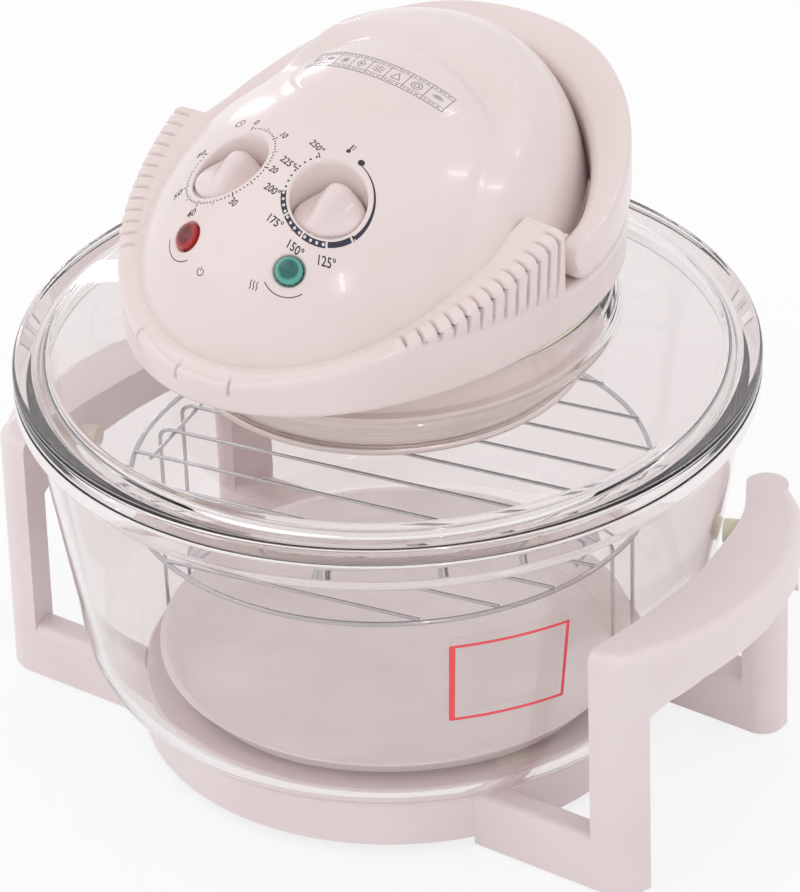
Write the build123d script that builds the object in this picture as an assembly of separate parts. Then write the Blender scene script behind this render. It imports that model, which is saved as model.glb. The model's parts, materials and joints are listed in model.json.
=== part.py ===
from build123d import *
import os
from math import cos, radians, sin

# Halogen oven. Millimetres, +Z up, the front (controls) faces -Y.
# The origin is on the bowl's axis, at the level of the feet.

# ---------------------------------------------------------------- driving dimensions

CLEAR = 0.05            # radial running fit of pins, shafts and pegs
GAP = 0.3               # free gap between pieces that only pass each other

# stand
RING_R = 118.0          # base ring, outer radius
RING_BORE = 62.0        # its central opening
RING_LOW = 5.0
RING_TOP = 27.0
RING_WALL = 3.0
FRAME_LOW = 1.0         # underside of the side frames, just above their feet
ARM_Y = (-73.0, 67.0)   # front faces of the front and rear arms
ARM_DEPTH = (15.0, 19.0)
ARM_TOP = 28.0
ARM_IN = 74.0           # the arms are drawn from here and cut to the ring
ARM_END = (158.0, 150.0)  # the arms run into the posts here
RAIL_FRONT_TOP = 129.0  # height of the rail's top at the front and at the back
RAIL_BACK_TOP = 118.0
RAIL_LOW = 102.0        # underside of the rail
RAIL_EDGE = 5.0         # rounding of the rail's outer top edge
REAR_POST_X = 160.5     # outer side of the rear post, below the bulging rail
REAR_POST_TOP = 99.0
REAR_POST_CORNERS = (10.0, 5.0)
SCREW_X = (84.0, 74.0)   # each arm has a tongue under the ring's deck, screwed here
TONGUE_WIDTH = 10.0
TONGUE_END = 7.0        # the tongue goes on by this beyond its screw
TONGUE_LOW = 14.0
SCREW_R = 2.0
FOOT_R = 5.5
FOOT_HEIGHT = 3.0
FOOT_PLACES = ((165.0, -65.3), (151.0, 76.5))
PAD_PLACE = (94.0, 44.0)
PAD_R = 7.5
PEG_R = 5.5
PEG_HEIGHT = 110.0
PEG_ANGLES = (24.5, -12.0)
PEG_TIP = 151.9
PEG_LENGTH = 15.0

# bowl
GLASS = 4.5             # wall of the bowl and of the lid
BOWL_LOW = 28.2         # underside of the bowl, on its pads
BOWL_FLAT = 104.0       # radius of the flat bottom
BOWL_CORNER = 40.0
BOWL_NECK = (160.4, 172.0)
RIM_R = 168.0
RIM_HEIGHT = 188.0      # where lid and bowl meet
LIP_R = 156.3           # locating lip of the lid, inside the bowl
LIP_LOW = 184.0

# pan and rack
PAN_R = 100.0
PAN_RIM = 108.0
PAN_HEIGHT = 11.5
PAN_SHEET = 0.8
RACK_R = 119.0
RACK_HEIGHT = 127.0
RACK_WIRE = 1.2         # radius of the ring's wire
BAR_WIRE = 0.9          # radius of the straight wires
BAR_PITCH = 22.7
BAR_COUNT = 10
BAR_TURN = 10.0         # the wires lie at this angle to the front
LEG_R = 113.4
LEG_LOW = 35.2
LEG_BEND = 6.0
TIE_INSET = 8.0         # the two cross ties lie this far inside the legs, under the wires
TIE_REACH = 35.0
TIE_DROP = 1.6

# lid
LID_TOP = 196.0
PLATE_R = 152.0
PLATE_RIM_HEIGHT = 199.0
FOLD_R = 104.5
FOLD_HEIGHT = 218.0
COLLAR_R = 101.2
COLLAR_TOP = 236.5
SKIRT_LOW = 238.0       # underside of the head, on the collar's gasket
NECK_R = 95.5
NECK_WALL = 3.0
NECK_LOW = 217.0
DRUM_R = 87.7
DRUM_LOW = 194.5
DRUM_SHEET = 0.8
LAMP_R = 62.0
LAMP_TUBE = 5.0
LAMP_STEM = 3.5
LAMP_STEM_INSET = 6.0   # degrees
LAMP_HEIGHT = 205.0
LAMP_SWEEP = 320.0
HOLDER_LOW = 211.0
REFLECTOR_HEIGHT = 221.5
GUARD_HEIGHT = 195.6
GUARD_WIRE = 1.0

# head: lower housing
WALL = 3.0
HALF_WIDTH = 101.5
HOUSING_Y = 5.0         # middle of the housing's outline
HOUSING_FRONT = 144.0   # semi-axes of its front and rear halves
HOUSING_REAR = 112.0
DRAFT = 3.6             # the outline grows by this from the lower edge up to DRAFT_TOP
DRAFT_TOP = 300.0
LIP_TOP = 252.5         # top of the front lip
LIP_Y = -136.0
CHEEK_START = (-130.0, 256.0)
CHEEK_END = (-8.0, 293.0)
DECK = 259.5            # behind the cheeks, under the handle
FLOOR_BORE = 80.0
VENT_COUNT = 13
VENT_WIDTH = 1.6
VENT_Y = (-90.0, -14.0)
VENT_LOW = (267.0, 262.5)
VENT_REACH = (-1.2, 8.0)  # across the lower edge's outline: through the wall and 4 over the shoulder
NOTCH_X = (-39.5, -12.0, 15.5)
NOTCH_WIDTH = 1.2
NOTCH_HEIGHT = 5.5
NOTCH_DEPTH = 2.0

# head: top cover, two ellipsoids
SHELL = 2.5
DOME_CENTRE = (0.0, -15.0, 254.0)
DOME_AXES = (91.0, 117.0, 81.5)
CROWN_CENTRE = (0.0, 26.0, 254.0)
CROWN_AXES = (77.0, 76.5, 89.0)
BAND_RISE = 1.8         # a raised band runs round the back of the cover and along its sides
BAND_BACK = 28.0        # its inner edge: straight across the back, then spreading forwards
BAND_CORNER = (62.0, 16.0)  # half-width and rounding at the back
BAND_SPREAD = (105.0, -60.0)

# controls, in the frame of each dial: +Z out of the cover, 0 at the mouth of the well
DIAL_PLACE = (26.0, -74.2, 318.3)
DIAL_NORMAL = (0.0, 0.0, 1.0)
WELL_R = 16.5
WELL_DEPTH = 14.5
WELL_WALL = 2.0
KNOB_R = 15.8
KNOB_DISC = 4.5
GRIP_WIDTH = 9.0
GRIP_TOP = -0.5
SHAFT_R = 3.0
SHAFT_TOP = -6.0
SHAFT_REACH = 13.0      # below the well's floor, into the control
CONTROL_SIZE = 25.0
CONTROL_DEPTH = 24.0
LENS_PLACE = (27.0, -106.0, 296.5)
LENS_NORMAL = (0.33, -0.67, 0.66)
LENS_R = 6.0
LENS_WALL = 1.5
LENS_OUT = 2.5
LENS_IN = 7.0
BOSS_PLACES = ((55.0, -92.0), (-55.0, -92.0), (25.0, 88.0), (-25.0, 88.0))
BOSS_R = 5.0

# carry handle
HINGE_Y = 8.0
HINGE_HEIGHT = 270.0
HINGE_R = 10.0
BAIL_WIDTH = 104.0
BAIL_BACK = 127.0
BAIL_IN_WIDTH = 93.5
BAIL_IN_BACK = 102.0
BAIL_Y = 5.0            # middle of the bail's outline
BAIL_LOW = 262.0
BAIL_BACK_LOW = 280.0
BAIL_BACK_TOP = 305.5
PIN_R = 3.5
PIN_REACH = (80.0, 100.5)
PLUNGER_PLACE = (92.5, 24.0)
PLUNGER_R = 2.5
PLUNGER_TOP = 261.7
PLUNGER_LOW = 252.4

# motor, on the bowl's axis
SHIELD_R = 83.0
SHIELD_HEIGHT = 241.0
BRACKET_TOP = 258.0
BRACKET_SHEET = 2.0
BUSH_R = 7.0
BUSH_HEIGHT = 6.0
STATOR_LOW = 266.0
STATOR_TOP = 286.0
ROTOR_R = 12.6
STATOR_BORE = 13.0
MOTOR_SHAFT_LOW = 206.0
MOTOR_SHAFT_TOP = 309.0
FAN_R = 48.0
FAN_HEIGHT = 212.0
FAN_BLADES = 8
COOLER_R = 37.0
COOLER_HEIGHT = 302.0
COOLER_BLADES = 7
FAN_DEPTH = 10.0
COOLER_DEPTH = 8.0
FAN_HUB_R = 9.0
BLADE_SHEET = 1.2
BLADE_PITCH = 35.0      # degrees
COIL_X = (-12.7, 12.7)
COIL_Y = (19.5, 51.0)
COIL_Z = (256.0, 296.0)
LIMB_Y = (30.0, 40.0)   # the stator's limb, through the coil

# wiring inside the head
GLAND_R = 6.0
GLAND_FLANGE_R = 8.0
GLAND_Y = (108.0, 123.0)
GLAND_FLANGE_Y = (119.5, 122.0)
CORD_R = 3.2
TERMINAL_X = (-15.0, 15.0)
TERMINAL_Y = (95.0, 105.0)
TERMINAL_HEIGHT = 9.0


# ---------------------------------------------------------------- helpers

def spun(*points):
    """A closed section of (radius, height) points, turned about the bowl's axis."""
    section = make_face(Polyline(*points, close=True))
    return revolve(Plane.XZ * section, Axis.Z)


def upright(radius, low, top, at=(0.0, 0.0)):
    """A vertical cylinder between two heights."""
    cylinder = Cylinder(radius, top - low, align=(Align.CENTER, Align.CENTER, Align.MIN))
    return Pos(at[0], at[1], low) * cylinder


def block(x, y, z):
    """A box between pairs of limits."""
    middle = Pos((x[0] + x[1]) / 2, (y[0] + y[1]) / 2, (z[0] + z[1]) / 2)
    return middle * Box(x[1] - x[0], y[1] - y[0], z[1] - z[0])


def lying(radius, start, end):
    """A cylinder from one point to another."""
    axis = Vector(*end) - Vector(*start)
    place = Plane(origin=start, z_dir=axis)
    return place * Cylinder(radius, axis.length, align=(Align.CENTER, Align.CENTER, Align.MIN))


def polar(radius, angle, height=0.0):
    return (radius * cos(radians(angle)), radius * sin(radians(angle)), height)


def mirrored(shape):
    return mirror(shape, Plane.YZ)


def side_profile(points, half_width=130.0):
    """A (y, z) outline drawn across the whole width."""
    face = Plane.YZ * make_face(Polyline(*points, close=True))
    return extrude(face, half_width, both=True)


def together(shapes):
    """Separate solids in one node."""
    return Compound(children=[solid for shape in shapes for solid in shape.solids()])


# ---------------------------------------------------------------- stand

def frame_plan():
    """Plan outline of the right side frame, post and rail."""
    front_y = ARM_Y[0]
    inner_corner = (155.0, front_y)
    turn_start = (160.0, front_y)
    turn_end = (176.5, -60.0)
    tip_start = (149.0, 101.0)
    tip_end = (131.0, 94.0)
    front = Line(inner_corner, turn_start)
    turn = TangentArc(turn_start, turn_end, tangent=(1, 0))
    outer = Spline(turn_end, (183, -45), (190, -14), (190.5, 16), (184.5, 46), (170, 78), tip_start,
                   tangents=[(0.3, 1), (-1, 0.7)])
    tip = ThreePointArc(tip_start, (136.5, 104), tip_end)
    inner = Spline(tip_end, (142, 75), (151, 45), (156.5, 15), (158, -20), inner_corner,
                   tangents=[(0.5, -1), (-0.1, -1)])
    return make_face([front, turn, outer, tip, inner])


def frame_profile():
    """Side outline of a frame: front post, rail, rear post, open between the posts."""
    front, rear = ARM_Y
    front_in = front + ARM_DEPTH[0]
    rear_out = rear + ARM_DEPTH[1]
    return side_profile((
        (front - 5, FRAME_LOW), (front_in, FRAME_LOW), (front_in, RAIL_LOW - 9),
        (front_in + 10, RAIL_LOW - 4), (front_in + 28, RAIL_LOW), (rear - 24, RAIL_LOW), (rear - 6, RAIL_LOW - 5), (rear, RAIL_LOW - 14),
        (rear, FRAME_LOW), (rear_out, FRAME_LOW), (rear_out, REAR_POST_TOP), (rear_out + 30, REAR_POST_TOP),
        (rear_out + 30, RAIL_BACK_TOP), (rear, RAIL_BACK_TOP), (front - 5, RAIL_FRONT_TOP)), half_width=200.0)


def arm_box(index, reach):
    start = ARM_Y[index]
    return block(reach, (start, start + ARM_DEPTH[index]), (FRAME_LOW, ARM_TOP))


def tongue_middle(index):
    return ARM_Y[index] + ARM_DEPTH[index] / 2


def rear_post():
    """The rear post, with its two outer corners rounded."""
    rear = ARM_Y[1]
    post = block((120, REAR_POST_X), (rear, rear + ARM_DEPTH[1]), (0, REAR_POST_TOP))
    front_radius, back_radius = REAR_POST_CORNERS
    front_edge = post.edges().filter_by(Axis.Z).sort_by(Axis.X)[-2:].sort_by(Axis.Y)[0]
    post = fillet(front_edge, front_radius)
    back_edge = post.edges().filter_by(Axis.Z).sort_by(Axis.X)[-2:].sort_by(Axis.Y)[-1]
    return fillet(back_edge, back_radius)


def make_frame():
    plan = extrude(Plane.XY * frame_plan(), 140)
    frame = plan & frame_profile()
    top_edges = frame.edges().filter_by(lambda edge: edge.center().Z > RAIL_LOW + 10)
    outer_edge = top_edges.sort_by(Axis.X)[-1]
    frame = fillet(outer_edge, RAIL_EDGE)
    rear = ARM_Y[1]
    frame -= block((120, 220), (rear, rear + 60), (0, REAR_POST_TOP)) - rear_post()
    for index in (0, 1):
        arm_edges = arm_box(index, (ARM_IN, ARM_END[index])).edges()
        arm = fillet(arm_edges.filter_by(Axis.X).group_by(Axis.Z)[-1], 4)
        frame += arm - upright(RING_R, 0, 40)
    for index in (0, 1):
        middle = tongue_middle(index)
        half = TONGUE_WIDTH / 2
        reach = (SCREW_X[index] - TONGUE_END, RING_R + 4)
        tongue = block(reach, (middle - half, middle + half), (TONGUE_LOW, RING_TOP - RING_WALL))
        frame += tongue
        frame -= upright(SCREW_R + CLEAR, 0, RING_TOP, screw_place(index))
    for place in FOOT_PLACES:
        frame -= upright(FOOT_R + CLEAR, 0, FOOT_HEIGHT, place)
    for angle in PEG_ANGLES:
        frame -= peg(angle, PEG_R + CLEAR)
    return frame


def screw_place(index):
    return (SCREW_X[index], tongue_middle(index))


def peg(angle, radius=PEG_R):
    return lying(radius, polar(PEG_TIP, angle, PEG_HEIGHT), polar(PEG_TIP + PEG_LENGTH, angle, PEG_HEIGHT))


def both_sides(places):
    return [(side * x, y) for side in (1, -1) for x, y in places]


def make_base_ring():
    inner = RING_BORE + RING_WALL
    outer = RING_R - RING_WALL
    deck = RING_TOP - RING_WALL
    ring = spun((RING_BORE, RING_LOW + 3), (inner, RING_LOW + 3), (inner, deck), (outer, deck),
                (outer, RING_LOW), (RING_R, RING_LOW), (RING_R, RING_TOP - 1.5), (RING_R - 1.5, RING_TOP),
                (RING_BORE, RING_TOP))
    half = TONGUE_WIDTH / 2 + GAP
    for side in (1, -1):
        for index in (0, 1):
            middle = tongue_middle(index)
            reach = sorted((side * RING_R / 2, side * (RING_R + 5)))
            ring -= block(reach, (middle - half, middle + half), (RING_LOW - 1, deck))
    for place in both_sides([screw_place(0), screw_place(1)]):
        ring -= upright(SCREW_R + CLEAR, 0, RING_TOP - 1, place)
    return ring


def make_frame_screws():
    screws = []
    for place in both_sides([screw_place(0), screw_place(1)]):
        shank = upright(SCREW_R, TONGUE_LOW - 1, RING_TOP - 1.2, place)
        screws.append(shank + upright(2 * SCREW_R, TONGUE_LOW - 2.5, TONGUE_LOW, place))
    return together(screws)


def make_feet():
    return together(upright(FOOT_R, 0, FOOT_HEIGHT, place) for place in both_sides(FOOT_PLACES))


def make_pads():
    x, y = PAD_PLACE
    return together(upright(PAD_R, RING_TOP, BOWL_LOW, place) for place in both_sides([(x, y), (x, -y)]))


def make_bumpers():
    pegs = [peg(angle) for angle in PEG_ANGLES]
    return together(pegs + [mirrored(one) for one in pegs])


# ---------------------------------------------------------------- bowl, pan and rack

def bowl_section(inset):
    """Profile of the bowl from the axis to the neck, moved inward by the inset."""
    low = BOWL_LOW + inset
    radius = BOWL_CORNER - inset
    centre_height = BOWL_LOW + BOWL_CORNER
    neck_r, neck_height = BOWL_NECK
    slope = 8.6
    end = (BOWL_FLAT + radius * cos(radians(slope)), centre_height - radius * sin(radians(slope)))
    middle = (BOWL_FLAT + radius * sin(radians(40)), centre_height - radius * cos(radians(40)))
    bottom = Line((0, low), (BOWL_FLAT, low))
    corner = ThreePointArc((BOWL_FLAT, low), middle, end)
    side = Line(end, (neck_r - inset, neck_height))
    return [bottom, corner, side]


def make_bowl():
    neck_r, neck_height = BOWL_NECK
    outer = bowl_section(0)
    inner = bowl_section(GLASS)
    rim = Polyline((neck_r, neck_height), (RIM_R - 1, neck_height + 6.5), (RIM_R, neck_height + 8.5),
                   (RIM_R, RIM_HEIGHT - 0.8), (RIM_R - 0.8, RIM_HEIGHT), (neck_r - GLASS + 2.2, RIM_HEIGHT),
                   (neck_r - GLASS, neck_height))
    axis = Line((0, BOWL_LOW), (0, BOWL_LOW + GLASS))
    section = make_face([*outer, rim, *inner, axis])
    return revolve(Plane.XZ * section, Axis.Z)


def make_pan():
    low = BOWL_LOW + GLASS
    sheet = PAN_SHEET
    top = low + PAN_HEIGHT
    return spun((0, low), (PAN_R, low), (PAN_RIM - 1.5, top - sheet), (PAN_RIM + 1, top - sheet),
                (PAN_RIM + 1, top), (PAN_RIM - 2, top), (PAN_R - 0.6, low + sheet), (0, low + sheet))


def make_rack():
    bar_height = RACK_HEIGHT + RACK_WIRE + BAR_WIRE - 0.4
    rack = Pos(0, 0, RACK_HEIGHT) * Torus(RACK_R, RACK_WIRE)
    for number in range(BAR_COUNT):
        offset = (number - (BAR_COUNT - 1) / 2) * BAR_PITCH
        if abs(offset) > BAR_PITCH:
            reach = (RACK_R ** 2 - offset ** 2) ** 0.5
            rack += lying(BAR_WIRE, (-reach, offset, bar_height), (reach, offset, bar_height))
    for offset in (-BAR_PITCH / 2, BAR_PITCH / 2):
        rack += legged_bar(offset, bar_height)
    for end in (-1, 1):
        tie_x = end * (LEG_R - TIE_INSET)
        tie_height = bar_height - TIE_DROP
        rack += lying(BAR_WIRE, (tie_x, -TIE_REACH, tie_height), (tie_x, TIE_REACH, tie_height))
    return Rot(0, 0, BAR_TURN) * rack


def legged_bar(offset, height):
    """A wire whose two ends bend down as legs."""
    reach = LEG_R - 0.6
    route = FilletPolyline((-reach, offset, LEG_LOW), (-reach, offset, height), (reach, offset, height),
                           (reach, offset, LEG_LOW), radius=LEG_BEND)
    start = Plane(origin=(-reach, offset, LEG_LOW), z_dir=(0, 0, 1))
    return sweep(start * Circle(BAR_WIRE), path=route)


# ---------------------------------------------------------------- glass lid

def make_lid_glass():
    inner_plate = PLATE_RIM_HEIGHT - GLASS - 0.3
    return spun((RIM_R, RIM_HEIGHT + 0.8), (RIM_R, LID_TOP - 2), (RIM_R - 2, LID_TOP),
                (PLATE_R + 4.5, LID_TOP), (PLATE_R + 2, LID_TOP + 0.9), (PLATE_R, PLATE_RIM_HEIGHT),
                (FOLD_R + 2, FOLD_HEIGHT - 0.8),
                (FOLD_R - 0.4, FOLD_HEIGHT + 2.4), (COLLAR_R, COLLAR_TOP), (COLLAR_R - GLASS, COLLAR_TOP),
                (FOLD_R - GLASS - 0.2, FOLD_HEIGHT + 0.5), (FOLD_R - 0.5, FOLD_HEIGHT - 4.6),
                (PLATE_R - 1.5, inner_plate), (PLATE_R - 0.5, LIP_LOW), (LIP_R, LIP_LOW), (LIP_R, RIM_HEIGHT),
                (RIM_R - 0.8, RIM_HEIGHT))


def make_gasket():
    return spun((COLLAR_R - GLASS, COLLAR_TOP), (COLLAR_R - 0.4, COLLAR_TOP), (COLLAR_R - 0.4, SKIRT_LOW),
                (COLLAR_R - GLASS, SKIRT_LOW))


def make_neck_ring():
    inner = NECK_R - NECK_WALL
    return spun((inner, NECK_LOW), (NECK_R + 3, NECK_LOW), (NECK_R + 3, NECK_LOW + 2), (NECK_R, NECK_LOW + 3),
                (NECK_R, SKIRT_LOW), (inner, SKIRT_LOW))


def make_drum():
    inner = DRUM_R - DRUM_SHEET
    bead = 2.0
    wall = spun((inner, DRUM_LOW), (DRUM_R, DRUM_LOW), (DRUM_R, SKIRT_LOW - DRUM_SHEET),
                (DRUM_R + 3.3, SKIRT_LOW - DRUM_SHEET), (DRUM_R + 3.3, SKIRT_LOW), (inner, SKIRT_LOW))
    return wall + Pos(0, 0, DRUM_LOW) * Torus(DRUM_R + bead - DRUM_SHEET, bead)


def make_guard():
    """Wire grille across the drum's mouth."""
    guard = Pos(0, 0, GUARD_HEIGHT) * Torus(DRUM_R - DRUM_SHEET - GUARD_WIRE - CLEAR, GUARD_WIRE)
    for radius in (18, 32, 46, 60, 74):
        guard += Pos(0, 0, GUARD_HEIGHT) * Torus(radius, GUARD_WIRE)
    for number in range(6):
        angle = 60 * number
        guard += lying(GUARD_WIRE, polar(18, angle, GUARD_HEIGHT), polar(85, angle, GUARD_HEIGHT))
    return guard


def make_reflector():
    radius = DRUM_R - DRUM_SHEET - CLEAR
    low = REFLECTOR_HEIGHT
    plate = spun((6, low), (radius, low), (radius, low + 6), (radius - 1, low + 6), (radius - 1, low + 1),
                 (6, low + 1))
    for place in lamp_ends():
        plate -= upright(2, REFLECTOR_HEIGHT - 1, REFLECTOR_HEIGHT + 2, place[:2])
    return plate


def lamp_ends():
    """Where the lamp's two stems stand, a little inside the ends of its ring."""
    half_open = (360 - LAMP_SWEEP) / 2 + LAMP_STEM_INSET
    return [polar(LAMP_R, 90 + side * half_open, LAMP_HEIGHT) for side in (-1, 1)]


def make_lamp():
    """Ring-shaped halogen tube; a stem near each end goes up into a holder."""
    half_open = (360 - LAMP_SWEEP) / 2
    section = Plane.XZ * Pos(LAMP_R, LAMP_HEIGHT) * Circle(LAMP_TUBE)
    tube = Rot(0, 0, 90 + half_open) * revolve(section, Axis.Z, LAMP_SWEEP)
    for place in lamp_ends():
        tube += upright(LAMP_STEM, LAMP_HEIGHT, HOLDER_LOW + 6, place[:2])
    return tube


def make_holders():
    holders = []
    for x, y, _ in lamp_ends():
        body = block((x - 8, x + 8), (y - 8, y + 8), (HOLDER_LOW, REFLECTOR_HEIGHT))
        holders.append(body - upright(LAMP_STEM + CLEAR, HOLDER_LOW - 1, HOLDER_LOW + 6.2, (x, y)))
    return together(holders)


def make_shield():
    low = SHIELD_HEIGHT
    return spun((8, low), (SHIELD_R, low), (SHIELD_R, low + 1), (8, low + 1))


# ---------------------------------------------------------------- head housings

def half_outline(height, inset=0.0):
    """The head's plan outline at a height, as a face: two half ellipses."""
    grow = DRAFT * (height - SKIRT_LOW) / (DRAFT_TOP - SKIRT_LOW) - inset
    front = EllipticalCenterArc((0, HOUSING_Y), HALF_WIDTH + grow, HOUSING_FRONT + grow, 180, arc_size=180)
    rear = EllipticalCenterArc((0, HOUSING_Y), HALF_WIDTH + grow, HOUSING_REAR + grow, 0, arc_size=180)
    return Pos(0, 0, height) * make_face([front, rear])


def outline_prism(low, inset=0.0):
    return loft([half_outline(low, inset), half_outline(DRAFT_TOP, inset)], ruled=True)


def housing_profile(drop=0.0, back=0.0):
    """(y, z) outline below the housing's top: lip, sloping cheeks, deck behind them."""
    start_y, start_z = CHEEK_START
    end_y, end_z = CHEEK_END
    end_y -= back
    slope = (CHEEK_END[1] - start_z) / (CHEEK_END[0] - start_y)
    end_z -= back * slope
    return side_profile((
        (-170, 100), (-170, LIP_TOP - drop - 4), (LIP_Y, LIP_TOP - drop), (start_y, start_z - drop),
        (end_y, end_z - drop), (end_y, DECK - drop), (170, DECK - drop), (170, 100)))


def ellipsoid(centre, axes, inset=0.0):
    return Pos(*centre) * scale(Sphere(1), by=tuple(axis - inset for axis in axes))


def inside_band(grow=0.0):
    """A tall prism over the part of the cover that the raised band runs round."""
    half_width, rounding = BAND_CORNER
    back = BAND_BACK + grow
    spread_x, spread_y = BAND_SPREAD
    front = -170.0
    outline = Polyline((half_width + grow, back), (spread_x + grow, spread_y), (spread_x + grow, front),
                       (-spread_x - grow, front), (-spread_x - grow, spread_y), (-half_width - grow, back),
                       close=True)
    prism = extrude(make_face(outline), 400)
    back_corners = prism.edges().filter_by(Axis.Z).sort_by(Axis.Y)[-2:]
    return fillet(back_corners, rounding)


def dome_and_crown(inset):
    return ellipsoid(DOME_CENTRE, DOME_AXES, inset) + ellipsoid(CROWN_CENTRE, CROWN_AXES, inset)


def cover_body(inset=0.0):
    """Dome and crown, with the raised band standing a little outside them."""
    return (dome_and_crown(inset) - inside_band(inset)) + dome_and_crown(inset + BAND_RISE)


def vent_cuts():
    cuts = []
    for number in range(VENT_COUNT):
        share = number / (VENT_COUNT - 1)
        y = VENT_Y[0] + share * (VENT_Y[1] - VENT_Y[0])
        low = VENT_LOW[0] + share * (VENT_LOW[1] - VENT_LOW[0])
        outline_share = (y - HOUSING_Y) / HOUSING_FRONT
        x = HALF_WIDTH * (1 - outline_share ** 2) ** 0.5
        normal = Vector(x / HALF_WIDTH ** 2, (y - HOUSING_Y) / HOUSING_FRONT ** 2, 0).normalized()
        place = Plane(origin=(x, y, low), x_dir=normal, z_dir=(0, 0, 1))
        cut = place * block(VENT_REACH, (-VENT_WIDTH / 2, VENT_WIDTH / 2), (0, 50))
        cuts += [cut, mirrored(cut)]
    return cuts


def make_lower_housing():
    outside = outline_prism(SKIRT_LOW) & housing_profile()
    inside = outline_prism(SKIRT_LOW + WALL, WALL) & housing_profile(WALL, WALL)
    housing = outside - inside
    opening = dome_and_crown(SHELL + BAND_RISE)
    housing -= opening & block((-200, 200), (-200, 200), (SKIRT_LOW + WALL, 400))
    housing -= upright(FLOOR_BORE, SKIRT_LOW - 1, SKIRT_LOW + WALL + 1)
    housing -= vent_cuts()
    for x in NOTCH_X:
        y = HOUSING_Y - HOUSING_FRONT * (1 - (x / HALF_WIDTH) ** 2) ** 0.5
        across = (x - NOTCH_WIDTH / 2, x + NOTCH_WIDTH / 2)
        housing -= block(across, (y - 6, y + NOTCH_DEPTH), (LIP_TOP - NOTCH_HEIGHT, LIP_TOP + 10))
    for place in BOSS_PLACES:
        housing -= upright(SCREW_R + CLEAR, SKIRT_LOW - 1, SKIRT_LOW + WALL + 1, place)
        housing -= upright(2 * SCREW_R + CLEAR, SKIRT_LOW - 1, SKIRT_LOW + 2, place)
    housing -= upright(PLUNGER_R + CLEAR, DECK - WALL - 1, DECK + 1, PLUNGER_PLACE)
    gland_height = (SKIRT_LOW + DECK) / 2
    housing -= lying(GLAND_R + CLEAR, (0, 100, gland_height), (0, 130, gland_height))
    return housing


def control_plane(place, normal, side):
    """Frame of a dial or lens; side is -1 on the left, +1 on the right."""
    return Plane(origin=(side * place[0], place[1], place[2]), x_dir=(1, 0, 0),
                 z_dir=(side * normal[0], normal[1], normal[2]))


def dial_frame(side):
    return control_plane(DIAL_PLACE, DIAL_NORMAL, side)


def lens_frame(side):
    return control_plane(LENS_PLACE, LENS_NORMAL, side)


def make_top_cover():
    outer = cover_body()
    keep_below = housing_profile()
    cups = [dial_frame(side) * upright(WELL_R + WELL_WALL, -WELL_DEPTH - WELL_WALL, 9) for side in (1, -1)]
    bosses = [upright(BOSS_R, SKIRT_LOW + WALL, 340, place) for place in BOSS_PLACES]
    pin_boss = lying(PIN_R + 3.5, (76, HINGE_Y, HINGE_HEIGHT), (92.8, HINGE_Y, HINGE_HEIGHT))
    cover = outer - cover_body(SHELL)
    for cup in cups:
        cover += cup & outer
    cover -= keep_below
    for boss in bosses:
        cover += boss & cover_body(SHELL / 2)
    for boss in (pin_boss, mirrored(pin_boss)):
        cover += boss
    pin_hole = lying(PIN_R + CLEAR, (75, HINGE_Y, HINGE_HEIGHT), (95, HINGE_Y, HINGE_HEIGHT))
    cover -= [pin_hole, mirrored(pin_hole)]
    for side in (1, -1):
        cover -= dial_frame(side) * upright(WELL_R, -WELL_DEPTH, 20)
        cover -= dial_frame(side) * upright(SHAFT_R + GAP, -WELL_DEPTH - 5, 0)
        cover -= lens_frame(side) * upright(LENS_R + CLEAR, -12, 12)
    for place in BOSS_PLACES:
        cover -= upright(SCREW_R + CLEAR, SKIRT_LOW, SKIRT_LOW + WALL + 12.2, place)
    return cover


def make_housing_screws():
    screws = []
    for place in BOSS_PLACES:
        head = upright(2 * SCREW_R, SKIRT_LOW + 0.2, SKIRT_LOW + 2, place)
        screws.append(head + upright(SCREW_R, SKIRT_LOW + 1, SKIRT_LOW + WALL + 12, place))
    return together(screws)


# ---------------------------------------------------------------- controls

def make_knob(side):
    bottom = GAP - WELL_DEPTH
    disc = upright(KNOB_R, bottom, bottom + KNOB_DISC)
    disc = chamfer(disc.edges().group_by(Axis.Z)[-1], 1)
    grip = block((-GRIP_WIDTH / 2, GRIP_WIDTH / 2), (-KNOB_R, KNOB_R), (bottom + 1, GRIP_TOP))
    grip = fillet(grip.edges().filter_by(Axis.Y).group_by(Axis.Z)[-1], 3)
    knob = disc + (grip & upright(KNOB_R - 0.6, bottom, 10))
    knob -= upright(SHAFT_R + CLEAR / 2, bottom - 1, SHAFT_TOP)
    return dial_frame(side) * knob


def make_shaft(side):
    return dial_frame(side) * upright(SHAFT_R, -WELL_DEPTH - SHAFT_REACH, SHAFT_TOP - 0.1)


def make_control(side):
    """Timer or thermostat body under its well."""
    top = -WELL_DEPTH - WELL_WALL
    half = CONTROL_SIZE / 2
    body = block((-half, half), (-half, half), (top - CONTROL_DEPTH, top))
    body -= upright(SHAFT_R + CLEAR, -WELL_DEPTH - SHAFT_REACH - 0.5, top + 1)
    return dial_frame(side) * body


def make_lens(side):
    cap = upright(LENS_R, -LENS_IN, LENS_OUT)
    cap = chamfer(cap.edges().group_by(Axis.Z)[-1], 1.2)
    cap -= upright(LENS_R - LENS_WALL, -LENS_IN - 1, 0)
    return lens_frame(side) * cap


def make_neons():
    lamp = upright(LENS_R - LENS_WALL - CLEAR, -16, -1)
    return together(lens_frame(side) * lamp for side in (-1, 1))


# ---------------------------------------------------------------- motor and fans

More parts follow.
